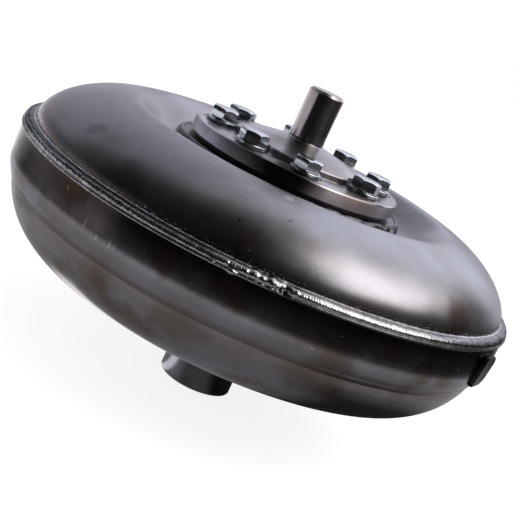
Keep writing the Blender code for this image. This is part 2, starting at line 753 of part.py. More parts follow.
def turbine_hub():
    bore = turbine_spline_tip - GAP
    section = [(turbine_boss, turbine_hub_high), (turbine_boss, turbine_flange_high),
               (turbine_flange_radius, turbine_flange_high), (turbine_flange_radius, turbine_flange_low),
               (turbine_barrel, turbine_flange_low), (turbine_barrel, turbine_hub_low),
               (bore, turbine_hub_low), (bore, turbine_hub_high)]
    hub = turned("turbine_hub", section, "machined_steel")
    cut(hub, rivet_cutter("hub_rivet_holes"))
    return cut(hub, spline_cutter("turbine_spline", turbine_spline_root, turbine_spline_tip,
                                  turbine_hub_low - SHEET, turbine_hub_high + SHEET))


def turbine_rivets():
    low = turbine_eye_height - TURBINE_SHEET - GAP
    high = turbine_flange_high + GAP
    section = [(0.0, high + RIVET_HEAD), (RIVET_HEAD_RADIUS, high), (RIVET_RADIUS, high),
               (RIVET_RADIUS, low), (RIVET_HEAD_RADIUS, low), (0.0, low - RIVET_HEAD)]
    rivet = turned("turbine_rivet", section, "dark_steel", closed=False, sides=RIVET_SIDES)
    copies(move_to(rivet, rivet_circle, 0.0), even_turns(RIVET_COUNT))


# Thrust bearings

def thrust_race(name, mean, low):
    section = box_section(mean - BEARING_WIDTH / 2.0, mean + BEARING_WIDTH / 2.0, low, low + RACE)
    return turned(name, section, "bearing_steel", sides=RING_SIDES)


def needle_bearing(name, mean, low):
    """A flat cage with the needles that it holds."""
    middle = low + NEEDLE_RADIUS
    section = box_section(mean - BEARING_WIDTH / 2.0, mean + BEARING_WIDTH / 2.0,
                          middle - CAGE / 2.0, middle + CAGE / 2.0)
    cage = turned(name, section, "bearing_steel", sides=RING_SIDES)
    lie_down = Matrix.Translation((mean, 0.0, middle)) @ Matrix.Rotation(math.pi / 2.0, 4, "Y")
    needle = cylinder(name + "_needle", NEEDLE_RADIUS, BEARING_WIDTH - 2.0 * NEEDLE_MARGIN, NEEDLE_SIDES,
                      lie_down, None, cutters)
    return join(cage, repeat(needle, NEEDLE_COUNT))


# Stator and one-way clutch

def stator_wheel():
    bore = RACE_RADIUS + RACE_BORE_PLAY
    groove = stator_bore + SNAP_RING_DEPTH + GAP
    section = [(stator_hub_radius, stator_high), (stator_hub_radius, stator_low), (bore, stator_low),
               (bore, stator_low + STATOR_WEB), (stator_bore, stator_low + STATOR_WEB),
               (stator_bore, plate_high), (groove, plate_high), (groove, snap_high + GAP),
               (stator_bore, snap_high + GAP), (stator_bore, stator_high)]
    wheel = turned("stator_wheel", section, "cast_aluminium")
    blade_low = core_middle - STATOR_BLADE_HEIGHT / 2.0
    join(wheel, stator_blades(blade_low))
    shroud = turned("stator_shroud", box_section(shroud_radius - STATOR_SHROUD, shroud_radius,
                                                 blade_low, blade_low + STATOR_BLADE_HEIGHT), None,
                    home=cutters)
    return join(wheel, shroud)


def stator_blades(low):
    """Cambered blades, thick at the turbine side, as bars from the hub to the shroud."""
    margin = STATOR_SHROUD / 2.0
    sides = {1: [], -1: []}
    for share in sweep(0.0, 1.0, 4):
        height = low + margin + (STATOR_BLADE_HEIGHT - 2.0 * margin) * (1.0 - share)
        camber = STATOR_BLADE_LEAN * (share * share - 0.5)
        half = STATOR_BLADE_THICKNESS / 2.0 * (0.25 + 1.5 * math.sqrt(share + 0.02) * (1.0 - share))
        for side in sides:
            sides[side].append((camber + side * half, height))
    outline = sides[1] + sides[-1][::-1]
    upright = Matrix.Rotation(math.pi / 2.0, 4, "Z") @ Matrix.Rotation(math.pi / 2.0, 4, "X")
    blade = slab("stator_blade", [outline], stator_hub_radius - margin, shroud_radius - margin, None,
                 turn=upright, home=cutters)
    return repeat(blade, STATOR_BLADE_COUNT)


def clutch_cam():
    pitch = 360.0 / ROLLER_COUNT
    inner = []
    for i in range(ROLLER_COUNT):
        middle = i * pitch
        inner.append(polar(cam_land, middle - POCKET_BEFORE))
        inner.append(polar(cam_roof, middle - POCKET_BEFORE))
        for share in sweep(0.0, 1.0, 3):
            inner.append(polar(cam_roof + POCKET_RISE * share, middle + POCKET_AFTER * share))
        inner.append(polar(cam_land, middle + POCKET_AFTER))
        inner.append(polar(cam_land, middle + (POCKET_AFTER + pitch - POCKET_BEFORE) / 2.0))
    outer = circle(stator_bore - GAP, INNER_SIDES)
    return slab("clutch_cam", [outer, inner], clutch_low, clutch_high, "bearing_steel")


def clutch_rollers():
    upright = Matrix.Translation((roller_circle, 0.0, (clutch_low + clutch_high) / 2.0))
    roller = cylinder("clutch_roller", ROLLER_RADIUS, CLUTCH_WIDTH - 2.0 * GAP, ROLLER_SIDES, upright,
                      "bearing_steel")
    copies(roller, even_turns(ROLLER_COUNT))


def clutch_springs():
    """Folded strips that press each roller into the narrow end of its pocket."""
    roller_side = math.degrees(math.asin(ROLLER_RADIUS / roller_circle))
    room = POCKET_AFTER - roller_side
    half = math.radians(room / 2.0) * cam_land - 1.5 * GAP
    low, high = cam_land + 4.0 * GAP, roller_circle + ROLLER_RADIUS / 2.0
    front = []
    back = []
    for i, share in enumerate(sweep(-1.0, 1.0, SPRING_FOLDS)):
        radius = high if i % 2 else low
        front.append((radius + SPRING_STRIP / 2.0, half * share))
        back.append((radius - SPRING_STRIP / 2.0, half * share))
    spring = slab("clutch_spring", [front + back[::-1]], clutch_low + 2.0 * GAP, clutch_high - 2.0 * GAP,
                  "spring_steel")
    turn = math.radians(roller_side + room / 2.0)
    spring.data.transform(Matrix.Rotation(turn, 4, "Z"))
    copies(spring, even_turns(ROLLER_COUNT))


def clutch_side_plate():
    section = box_section(RACE_RADIUS + RACE_BORE_PLAY, stator_bore - GAP, plate_low, plate_high)
    return turned("clutch_side_plate", section, "bearing_steel", sides=INNER_SIDES)


def clutch_snap_ring():
    outer = stator_bore + SNAP_RING_DEPTH
    outline = split_ring(outer - SNAP_RING_WIDTH, outer, SNAP_RING_SPLIT, RING_SIDES)
    return slab("clutch_snap_ring", [outline], snap_low, snap_high, "spring_steel")


def stator_thrust_washer():
    outer = stator_bore + SNAP_RING_DEPTH - SNAP_RING_WIDTH - 3.0 * GAP
    inner = race_spline_root + THRUST_WASHER_SETBACK
    return turned("stator_thrust_washer", box_section(inner, outer, washer_low, washer_high), "phenolic",
                  sides=RING_SIDES)


def clutch_inner_race():
    bore = race_spline_tip - GAP
    race = turned("clutch_inner_race", box_section(bore, RACE_RADIUS, clutch_low, plate_high - GAP),
                  "bearing_steel")
    return cut(race, spline_cutter("race_spline", race_spline_root, race_spline_tip,
                                   clutch_low - SHEET, plate_high + SHEET))


def build():
    front_cover()
    impeller_shell()
    seam_weld()
    balance_weight()
    boss_ring()
    boss_ring_weld()
    pilot_flange()
    flange_bolts()
    spring_washers()
    impeller_hub()
    hub_weld()
    impeller_blade_ring()
    turbine_blade_ring()
    turbine_shell()
    turbine_hub()
    turbine_rivets()
    thrust_race("cover_bearing_race", front_bearing_mean, cover_race_low)
    thrust_race("turbine_bearing_race", front_bearing_mean, turbine_race_low)
    needle_bearing("front_needle_cage", front_bearing_mean, front_needle_low)
    thrust_race("hub_bearing_race", rear_bearing_mean, rear_race_low)
    thrust_race("stator_bearing_race", rear_bearing_mean, stator_race_low)
    needle_bearing("rear_needle_cage", rear_bearing_mean, rear_needle_low)
    stator_wheel()
    clutch_cam()
    clutch_rollers()
    clutch_springs()
    clutch_side_plate()
    clutch_snap_ring()
    stator_thrust_washer()
    clutch_inner_race()
    settle()


# What turns together hangs from one empty on the axis
SPINNING = {
    "turbine_axis": ("turbine_",),
    "stator_axis": ("stator_", "clutch_cam", "clutch_roller", "clutch_spring", "clutch_side", "clutch_snap"),
    "inner_race_axis": ("clutch_inner_race",),
    "front_bearing_axis": ("front_needle_cage",),
    "rear_bearing_axis": ("rear_needle_cage",),
}


def hang_on_axes():
    pieces = list(parts.objects)
    for axis_name, beginnings in SPINNING.items():
        axis = bpy.data.objects.new(axis_name, None)
        parts.objects.link(axis)
        for piece in pieces:
            if piece.name.startswith(beginnings):
                piece.parent = axis


build()
hang_on_axes()
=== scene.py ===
import math
from functools import partial

import bmesh
import bpy
from mathutils import Matrix, Vector


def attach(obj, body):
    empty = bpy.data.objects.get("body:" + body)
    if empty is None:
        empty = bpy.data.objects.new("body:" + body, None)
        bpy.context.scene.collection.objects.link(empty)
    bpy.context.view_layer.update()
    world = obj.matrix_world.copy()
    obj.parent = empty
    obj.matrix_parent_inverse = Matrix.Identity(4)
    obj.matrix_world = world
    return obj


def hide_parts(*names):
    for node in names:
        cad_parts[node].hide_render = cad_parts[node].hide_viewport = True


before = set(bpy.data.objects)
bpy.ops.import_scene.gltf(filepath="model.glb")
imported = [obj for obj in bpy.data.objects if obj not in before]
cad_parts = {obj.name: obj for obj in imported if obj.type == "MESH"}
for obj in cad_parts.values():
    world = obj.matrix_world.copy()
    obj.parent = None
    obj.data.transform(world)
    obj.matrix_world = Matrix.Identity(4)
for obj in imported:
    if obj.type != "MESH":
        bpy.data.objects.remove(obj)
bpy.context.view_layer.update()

stage = bpy.context.scene
mm = 0.001

# Kinds of node that are named often
vectorMath, mapRange, noise = "ShaderNodeVectorMath", "ShaderNodeMapRange", "ShaderNodeTexNoise"
ramp, mix, combine = "ShaderNodeValToRGB", "ShaderNodeMix", "ShaderNodeCombineXYZ"
smooth = {"interpolation_type": "SMOOTHSTEP"}


# Small helpers for colours, nodes and meshes

def hexToLinear(code):
    channels = [int(code[i:i + 2], 16) / 255.0 for i in (1, 3, 5)]
    return tuple(c / 12.92 if c <= 0.04045 else ((c + 0.055) / 1.055) ** 2.4 for c in channels) + (1.0,)


def setInputs(tree, node, inputs):
    # an input takes a plain value, or a link from a socket or from a node's first output
    for key, value in inputs.items():
        if isinstance(value, bpy.types.Node):
            value = next(out for out in value.outputs if out.enabled)
        if isinstance(value, bpy.types.NodeSocket):
            tree.links.new(value, node.inputs[key])
        else:
            node.inputs[key].default_value = value


def addNode(tree, kind, *values, stops=(), **settings):
    # values are the inputs in order, or one dictionary of them; a kind in capitals is a Math operation
    node = tree.nodes.new("ShaderNodeMath" if kind.isupper() else kind)
    if kind.isupper():
        node.operation = kind
    for name, value in settings.items():
        setattr(node, name, value)
    setInputs(tree, node, values[0] if values and isinstance(values[0], dict) else dict(enumerate(values)))
    for i, (place, colour) in enumerate(stops):                # a colour ramp's stops
        element = node.color_ramp.elements[i] if i < 2 else node.color_ramp.elements.new(place)
        element.position = place
        element.color = hexToLinear(colour) if isinstance(colour, str) else (colour, colour, colour, 1.0)
    return node


def placed(name, data):
    item = bpy.data.objects.new(name, data)
    stage.collection.objects.link(item)
    return item


def smoothed(mesh, sharpAngle):
    mesh.shade_smooth()
    mesh.set_sharp_from_angle(angle=math.radians(sharpAngle))


def newPiece(name, mesh, material, sharpAngle=35.0):
    mesh.name = name
    mesh.materials.append(material)
    smoothed(mesh, sharpAngle)
    return placed(name, mesh)


def onHousing(piece, slot, *replaced):
    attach(piece, "housing")
    if replaced:
        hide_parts(*replaced)
    return piece


def around(bearingOf):
    return math.radians(bearingOf - 90.0)


def polar(r, angle, z):
    return r * mm * math.cos(angle), r * mm * math.sin(angle), z * mm


def smoothPath(points, spacing, fine=None):
    # a smooth curve through the points, drawn finer between two heights of the skirt
    path = []
    for i in range(len(points) - 1):
        before, start, end, after = (Vector(points[max(0, min(k, len(points) - 1))])
                                     for k in (i - 1, i, i + 1, i + 2))
        step = fine[2] if fine and fine[0] < (start.y + end.y) / 2.0 < fine[1] and start.x > 120.0 else spacing
        steps = max(1, round((end - start).length / step))
        for j in range(steps):
            t = j / steps
            path.append(tuple(0.5 * (2 * start + (end - before) * t
                                     + (2 * before - 5 * start + 4 * end - after) * t * t
                                     + (3 * start - before - 3 * end + after) * t ** 3)))
    path.append(tuple(points[-1]))
    return path


def innerPath(path, wall):
    inner = []
    for i, (r, z) in enumerate(path):
        (r0, z0), (r1, z1) = path[max(i - 1, 0)], path[min(i + 1, len(path) - 1)]
        run = math.hypot(r1 - r0, z1 - z0)
        inner.append((max(r + wall * (z1 - z0) / run, 0.0), z - wall * (r1 - r0) / run))
    return inner


def rounded(corners, closed=False, steps=4, guard=0.15):
    # each corner is (radius, height, fillet); short straights beside a fillet keep its shading clean
    path = []
    count = len(corners)
    for i, (r, z, fillet) in enumerate(corners):
        here = Vector((r, z))
        if fillet == 0.0 or (not closed and i in (0, count - 1)):
            path.append((r, z))
            continue
        arms = [Vector(corners[k % count][:2]) - here for k in (i - 1, i + 1)]
        turn = arms[0].angle(arms[1])
        reach = min(fillet / math.tan(turn / 2.0), 0.46 * arms[0].length, 0.46 * arms[1].length)
        first, last = (here + arm.normalized() * reach for arm in arms)
        room = [min(guard, 0.3 * (arm.length - reach)) for arm in arms]
        path.append(tuple(first + arms[0].normalized() * room[0]))
        for j in range(steps + 1):
            t = j / steps
            path.append(tuple(first * (1 - t) ** 2 + here * 2 * t * (1 - t) + last * t * t))
        path.append(tuple(last + arms[1].normalized() * room[1]))
    return path


def skin(shape, rings, closed=False, capped=True):
    # faces from each ring of corners to the next, and over both ends
    sides = len(rings[0])
    for i in range(len(rings) if closed else len(rings) - 1):
        upper, lower = rings[i], rings[(i + 1) % len(rings)]
        for k in range(sides):
            corner = [upper[k], upper[(k + 1) % sides], lower[(k + 1) % sides], lower[k]]
            corner = [v for n, v in enumerate(corner) if v is not corner[n - 1]]
            if len(corner) > 2:
                shape.faces.new(corner)
    if capped:
        shape.faces.new(rings[0])
        shape.faces.new(rings[-1])


def meshOf(name, shape):
    bmesh.ops.recalc_face_normals(shape, faces=shape.faces)
    mesh = bpy.data.meshes.new(name)
    shape.to_mesh(mesh)
    shape.free()
    return mesh


def turnedMesh(section, sides, closed=True):
    shape = bmesh.new()
    rings = []
    for r, z in section:
        if r < 0.001:                                          # a pole
            rings.append([shape.verts.new((0.0, 0.0, z * mm))] * sides)
        else:
            rings.append([shape.verts.new(polar(r, 2.0 * math.pi * k / sides, z)) for k in range(sides)])
    skin(shape, rings, closed, capped=False)
    return meshOf("turned", shape)


def nodeTree(name, inputs):
    tree = bpy.data.node_groups.new(name, "GeometryNodeTree")
    for label, kind in {"Geometry": "Geometry", **inputs, "Material": "Material"}.items():
        tree.interface.new_socket(label, in_out="INPUT", socket_type="NodeSocket" + kind)
    tree.interface.new_socket("Geometry", in_out="OUTPUT", socket_type="NodeSocketGeometry")
    return tree, addNode(tree, "NodeGroupInput").outputs


def finishTree(tree, geometry, given):
    plain = addNode(tree, "GeometryNodeRealizeInstances", {0: geometry})
    coated = addNode(tree, "GeometryNodeSetMaterial", {0: plain, "Material": given["Material"]})
    addNode(tree, "NodeGroupOutput", {0: coated})
    return tree


def applied(piece, modifier):
    # the piece with its modifier made into plain mesh
    result = bpy.data.meshes.new_from_object(piece.evaluated_get(bpy.context.evaluated_depsgraph_get()))
    piece.modifiers.remove(modifier)
    piece.data = result
    result.name = piece.name
    return piece


def grown(name, mesh, tree, values):
    piece = placed(name, mesh)
    modifier = piece.modifiers.new(tree.name, "NODES")
    modifier.node_group = tree
    for item in tree.interface.items_tree:
        if item.in_out == "INPUT" and item.name in values:
            modifier[item.identifier] = values[item.name]
    return applied(piece, modifier)


def cylinderOf(tree, position):
    # a place in millimetres, with its coordinates, its direction from the axis and its radius
    add = partial(addNode, tree)
    place = add(vectorMath, {0: position, "Scale": 1.0 / mm}, operation="SCALE")
    parts = add("ShaderNodeSeparateXYZ", {0: place}).outputs
    flat = add(combine, {0: parts[0], 1: parts[1]})
    return (place, parts, add(vectorMath, {0: flat}, operation="NORMALIZE"),
            add(vectorMath, {0: flat}, operation="LENGTH").outputs["Value"])


# Materials. Every pattern reads Object coordinates, turned into millimetres.

def bearing(tree, towards):
    # angle round the axis from one bearing
    place = addNode(tree, "ShaderNodeTexCoord").outputs["Object"]
    ahead, aside = [(math.cos(a), math.sin(a), 0.0) for a in (around(towards), around(towards) + math.pi / 2.0)]
    parts = [addNode(tree, vectorMath, {0: place, 1: axis}, operation="DOT_PRODUCT").outputs["Value"]
             for axis in (aside, ahead)]
    return addNode(tree, "ARCTAN2", *parts)


def within(tree, value, low, high, soft):
    # one between low and high and nought outside, with soft edges
    rise = addNode(tree, mapRange, {0: value, 1: low - soft, 2: low + soft}, **smooth)
    fall = addNode(tree, mapRange, {0: value, 1: high + soft, 2: high - soft}, **smooth)
    return addNode(tree, "MULTIPLY", rise, fall)


def newMaterial(name):
    material = bpy.data.materials.new(name)
    material.use_nodes = True
    return material, material.node_tree, material.node_tree.nodes["Principled BSDF"]


def dress(tree, shader, look, colour, rough, relief):
    setInputs(tree, shader, {
        "Metallic": look.get("metallic", 1.0), "Base Color": colour, "Roughness": rough,
        "Normal": addNode(tree, "ShaderNodeBump", {"Strength": 1.0, "Distance": mm, "Height": relief})})
    if "anisotropy" in look:                                   # blurs across the marks of the tool
        setInputs(tree, shader, {
            "Anisotropic": look["anisotropy"], "Anisotropic Rotation": 0.25,
            "Tangent": addNode(tree, "ShaderNodeTangent", direction_type="RADIAL", axis="Z")})


def turnedMetal(name, look):
    material, tree, shader = newMaterial(name)
    add = partial(addNode, tree)
    place, parts, ring, radius = cylinderOf(tree, add("ShaderNodeTexCoord").outputs["Object"])
    # tool marks run round the axis, so their noise moves quickly along the section and slowly round it
    along = add("DIVIDE", add("SUBTRACT", radius, parts[2]), look["lineSpacing"])
    drift = add(vectorMath, {0: ring, "Scale": look["lineDrift"]}, operation="SCALE")
    lines = add(noise, {"Vector": add(vectorMath, {0: drift, 1: add(combine, {2: along})}, operation="ADD"),
                        "Scale": 1.0, "Detail": 3.0, "Roughness": 0.7})
    stains = add(noise, {"Vector": place, "Scale": 1.0 / look["stainSize"], "Detail": 5.0, "Roughness": 0.55})
    fine = add(noise, {"Vector": place, "Scale": 1.0 / look["grainSize"], "Detail": 2.0})
    colour = add(ramp, {0: stains}, stops=look["colours"])
    factors = [(look["lineDepth"], add(ramp, {0: lines}, stops=[(0.3, 0.45), (0.7, 1.0)]))]
    if "bands" in look:                                        # tints at set heights of the piece
        low, high = look["bandRange"]
        sway = add("SUBTRACT", add(noise, {"Vector": place, "Scale": 0.05, "Detail": 3.0}), 0.5)
        share = add(mapRange, {0: add("MULTIPLY_ADD", sway, look["bandWobble"], parts[2]), 1: low, 2: high})
        factors.append((1.0, add(ramp, {0: share}, stops=[
            ((z - low) / (high - low), tint) for z, tint in look["bands"]])))
    if "patches" in look:                                      # heat tints and smudges in patches
        cloud = add(noise, {"Vector": place, "W": look["patchSeed"], "Scale": 1.0 / look["patchSize"],
                            "Detail": 3.0}, noise_dimensions="4D")
        factors.append((1.0, add(ramp, {0: cloud}, stops=look["patches"])))
    if "speckSpacing" in look:                                 # burnt-on specks a few tenths across
        spacing = look["speckSpacing"]
        cells = add("ShaderNodeTexVoronoi", {"Vector": place, "Scale": 1.0 / spacing})
        factors.append((1.0, add(mapRange, {
            0: cells.outputs["Distance"], 1: 0.2 / spacing, 2: 0.7 / spacing, 3: 0.5, 4: 1.0}, **smooth)))
    for amount, factor in factors:
        colour = add(mix, {0: amount, 6: colour, 7: factor}, data_type="RGBA", blend_type="MULTIPLY").outputs[2]
    if "marks" in look:                                        # smudges and scratches where this one has them
        ragged = []
        for scale, reach in ((0.12, 11.0), (0.9, 1.6)):        # for stains, and for specks and scratches
            stray = add(noise, {"Vector": place, "Scale": scale, "Detail": 3.0}).outputs[1]
            stray = add(vectorMath, {0: stray, 1: (0.5, 0.5, 0.5)}, operation="SUBTRACT")
            ragged.append(add(vectorMath, {0: stray, 1: (reach, reach, reach), 2: place},
                              operation="MULTIPLY_ADD"))
        for bearingOf, r, z, size, tall, tint, strength in look["marks"]:
            spot = (r * math.cos(around(bearingOf)), r * math.sin(around(bearingOf)), z)
            gap = add(vectorMath, {0: ragged[0 if size > 4.0 else 1], 1: spot}, operation="SUBTRACT")
            gap = add(vectorMath, {0: gap, 1: (1.0, 1.0, 1.0 / tall)}, operation="MULTIPLY")
            far = add(vectorMath, {0: gap}, operation="LENGTH").outputs["Value"]
            mask = add(mapRange, {0: far, 1: size, 2: size * 0.35, 3: 0.0, 4: strength}, **smooth)
            colour = add(mix, {0: mask, 6: colour, 7: hexToLinear(tint)}, data_type="RGBA").outputs[2]
    wear = add("ADD", add("MULTIPLY", lines, 0.5), add("MULTIPLY", stains, 0.5))
    rough = add(mapRange, {0: wear, 1: 0.3, 2: 0.7, 3: look["roughness"][0], 4: look["roughness"][1]})
    for start, end, share in look.get("ground", ()):           # smoother where ground after turning
        part = add(mapRange, {0: within(tree, radius, start, end, 0.15), 3: 1.0, 4: share})
        rough = add("MULTIPLY", rough, part)
    relief = add("ADD", add("MULTIPLY", lines, look["lineRelief"]), add("MULTIPLY", fine, look["grainRelief"]))
    dress(tree, shader, look, colour, rough, relief)
    return material


def roughMetal(name, look):
    material, tree, shader = newMaterial(name)
    add = partial(addNode, tree)
    place, parts, ring, radius = cylinderOf(tree, add("ShaderNodeTexCoord").outputs["Object"])
    stains = add(noise, {"Vector": place, "Scale": 1.0 / look["stainSize"], "Detail": 4.0, "Roughness": 0.6})
    fine = add(noise, {"Vector": place, "Scale": 1.0 / look["grainSize"], "Detail": 3.0, "Roughness": 0.6})
    colour = add(ramp, {0: add("ADD", add("MULTIPLY", stains, 0.6), add("MULTIPLY", fine, 0.4))},
                 stops=look["colours"])
    relief = add("MULTIPLY", fine, look["grainRelief"])
    for radii, heights, (first, last), dark in look.get("paintedShade", ()):     # painted shade: darker and smoother on part of it
        turn = add("ABSOLUTE", bearing(tree, (first + last) / 2.0))
        mask = add("MULTIPLY", within(tree, radius, *radii, 0.3), within(tree, parts[2], *heights, 0.2))
        mask = add("MULTIPLY", mask, within(tree, turn, -4.0, math.radians((last - first) / 2.0), 0.12))
        clean = add("SUBTRACT", 1.0, add("MULTIPLY", mask, dark))
        colour = add(mix, {0: 1.0, 6: colour, 7: clean}, data_type="RGBA", blend_type="MULTIPLY").outputs[2]
        relief = add("MULTIPLY", relief, clean)
    rough = add(mapRange, {0: fine, 1: 0.3, 2: 0.7, 3: look["roughness"][0], 4: look["roughness"][1]})
    dress(tree, shader, look, colour, rough, relief)
    return material


# Spacings and sizes are in mm. Bands are (height, tint). A mark is (bearing, radius, height, size,
# share of the size in height, tint, strength).
# Pressed steel sheet, spun against an abrasive belt: fine rings round the axis draw highlights out
# along the radius, over the grain of the sheet. The heat of welding left brown tints.
coverSteel = turnedMetal("polishedPressedSteel", {
    "roughness": (0.27, 0.34), "anisotropy": 0.4, "lineSpacing": 0.5, "lineDrift": 3.0, "lineDepth": 0.06,
    "lineRelief": 0.005, "stainSize": 38.0, "grainSize": 0.7, "grainRelief": 0.055,
    "colours": [(0.3, "#8f8a8b"), (0.5, "#9c999c"), (0.72, "#a5a3a7")],
    "patchSeed": 3.0, "patchSize": 30.0, "patches": [(0.34, "#ece8e4"), (0.48, "#ffffff")],
    "bandRange": (100.0, 140.0), "bandWobble": 9.0,
    "bands": [(104.0, "#a3958c"), (109.0, "#d4ceca"), (115.0, "#ffffff")], "speckSpacing": 15.0,
    "marks": [(-47.1, 127.0, 123.4, 8.0, 1.0, "#4a4442", 0.42), (-59.3, 136.6, 112.2, 0.9, 1.0, "#141212", 0.6),
              (-41.1, 126.4, 123.9, 0.8, 1.0, "#141212", 0.6), (-5.1, 129.3, 121.5, 1.3, 1.3, "#1c1816", 0.6),
              (4.5, 118.2, 129.0, 1.4, 0.6, "#1c1816", 0.6), (-27.7, 134.5, 115.8, 0.8, 1.0, "#1c1816", 0.6),
              (-30.0, 135.5, 113.0, 15.0, 1.0, "#5c4b3f", 0.5), (50.0, 134.5, 114.5, 13.0, 1.0, "#644b3d", 0.7),
              (-1.2, 134.5, 114.5, 14.0, 0.8, "#6b584c", 0.45), (22.0, 136.0, 109.5, 10.0, 0.6, "#7a675a", 0.25),
              # the pale smear by the flange is partly a painted highlight; the large dark patch on the dish in front
              # is painted shade, which the flange's rim reflects
              (2.7, 100.7, 135.1, 3.6, 0.4, "#e6e4e6", 0.7), (0.0, 84.0, 130.0, 30.0, 1.0, "#403b38", 0.75),
              # two brown patches darken the dish on the left
              (-105.0, 80.0, 127.0, 34.0, 1.0, "#5d534c", 0.3),
              (-150.0, 80.0, 127.0, 24.0, 1.0, "#5d534c", 0.5)]})
# The same sheet with the scale of the furnace still on it: darker, browner and less even, with painted shade just
# below the bead.
bowlSteel = turnedMetal("heatTintedPressedSteel", {
    "roughness": (0.14, 0.22), "anisotropy": 0.3, "lineSpacing": 0.5, "lineDrift": 3.0, "lineDepth": 0.1,
    "lineRelief": 0.01, "stainSize": 26.0, "grainSize": 0.9, "grainRelief": 0.006,
    "colours": [(0.3, "#8b8686"), (0.5, "#969397"), (0.72, "#a09fa5")],
    "patchSeed": 8.0, "patchSize": 24.0, "patches": [(0.38, "#c9bba8"), (0.52, "#ffffff")],
    "bandRange": (40.0, 105.0), "bandWobble": 2.5,
    # the bands from 85 mm up darken the skirt towards the bead: painted shade under the bead
    "bands": [(60.0, "#ffffff"), (72.4, "#fff8f2"), (73.4, "#d6cabd"), (76.2, "#ded5cc"), (77.0, "#ffffff"),
              (85.0, "#ffffff"), (88.0, "#e6e2e4"), (99.0, "#857c79")], "speckSpacing": 14.0,
    "marks": [(-31.8, 142.8, 88.5, 0.7, 5.0, "#e9e8ea", 0.45), (-28.2, 142.8, 85.4, 0.6, 3.6, "#e9e8ea", 0.45),
              (-25.0, 142.8, 86.4, 0.7, 4.6, "#e9e8ea", 0.5), (-23.9, 142.8, 86.2, 0.6, 4.0, "#dddcde", 0.4),
              (-39.4, 142.8, 97.2, 0.9, 1.0, "#ffb27c", 1.0), (26.8, 142.8, 88.9, 0.8, 1.0, "#141212", 0.9),
              (-39.0, 142.8, 98.0, 12.0, 0.7, "#5a493c", 0.5), (-54.0, 142.8, 91.0, 26.0, 0.5, "#4f443d", 0.65),
              (-56.0, 139.0, 74.0, 22.0, 0.3, "#463a32", 0.65), (-25.9, 137.7, 69.0, 15.0, 0.6, "#75695a", 0.55),
              (-7.9, 136.8, 67.0, 22.0, 0.5, "#766a5b", 0.55), (17.2, 142.7, 84.0, 1.6, 0.3, "#e6e6ea", 0.5),
              (32.5, 142.8, 92.6, 11.0, 0.35, "#5e4a3c", 0.55), (20.7, 137.1, 68.0, 20.0, 0.5, "#786c5e", 0.5),
              (-14.0, 142.8, 95.0, 16.0, 0.6, "#5c4a48", 0.35)]})
# Faced and turned on a lathe: tool marks 0.35 mm apart stretch highlights into bands. The pilot and the
# flange's rim are ground smoother, and the welding heat stained the cone.
turnedSteel = turnedMetal("turnedSteel", {
    "roughness": (0.26, 0.36), "anisotropy": 0.7, "lineSpacing": 0.35, "lineDrift": 0.5, "lineDepth": 0.16,
    "lineRelief": 0.008, "stainSize": 24.0, "grainSize": 0.6, "grainRelief": 0.001,
    "colours": [(0.3, "#a39a95"), (0.7, "#c4c2c7")], "ground": [(-1.0, 10.5, 0.68), (59.5, 62.0, 0.45)],
    "marks": [(-30.0, 22.0, 147.6, 9.0, 1.0, "#8c7a6c", 0.6), (20.0, 28.0, 146.4, 11.0, 1.0, "#877669", 0.6),
              (60.0, 24.0, 147.2, 8.0, 1.0, "#8f7f73", 0.5), (-60.0, 33.0, 145.4, 8.0, 1.0, "#94867b", 0.5),
              # the last three marks, on the flange's rim, are painted reflections: light at the left, near-black in
              # front, brown-grey at the right
              (28.0, 24.0, 147.0, 26.0, 1.0, "#857d7c", 0.8), (-55.0, 61.0, 136.0, 22.0, 0.8, "#fbf6ff", 0.9),
              (-3.0, 61.0, 136.0, 26.0, 0.6, "#1d1b1d", 0.85), (40.0, 61.0, 136.0, 20.0, 0.6, "#87766c", 0.7)]})
# Turned steel in a darker colour as painted shade, with a painted highlight on its left side.
darkSteel = turnedMetal("heatDarkenedTurnedSteel", {
    "roughness": (0.2, 0.3), "anisotropy": 0.5, "lineSpacing": 0.4, "lineDrift": 0.8, "lineDepth": 0.25,
    "lineRelief": 0.012, "stainSize": 18.0, "grainSize": 0.7, "grainRelief": 0.004,
    "colours": [(0.3, "#5c5858"), (0.7, "#7b797d")],
    # a painted highlight on the hub's left side
    "marks": [(-50.0, 21.0, 12.0, 14.0, 2.5, "#a39fa6", 0.75)]})
# Plate in a near-black colour.
blackSteel = turnedMetal("heatBlackenedSteel", {
    "roughness": (0.3, 0.42), "lineSpacing": 0.6, "lineDrift": 2.0, "lineDepth": 0.2,
    "lineRelief": 0.01, "stainSize": 9.0, "grainSize": 0.7, "grainRelief": 0.01,
    "colours": [(0.3, "#302e30"), (0.7, "#4b494c")]})
# Turned ring greyed by the heat of its weld.
greySteel = turnedMetal("heatGreyedTurnedSteel", {
    "roughness": (0.28, 0.4), "lineSpacing": 0.6, "lineDrift": 2.0, "lineDepth": 0.15,
    "lineRelief": 0.008, "stainSize": 12.0, "grainSize": 0.7, "grainRelief": 0.006,
    "colours": [(0.3, "#565356"), (0.7, "#6e6c72")]})
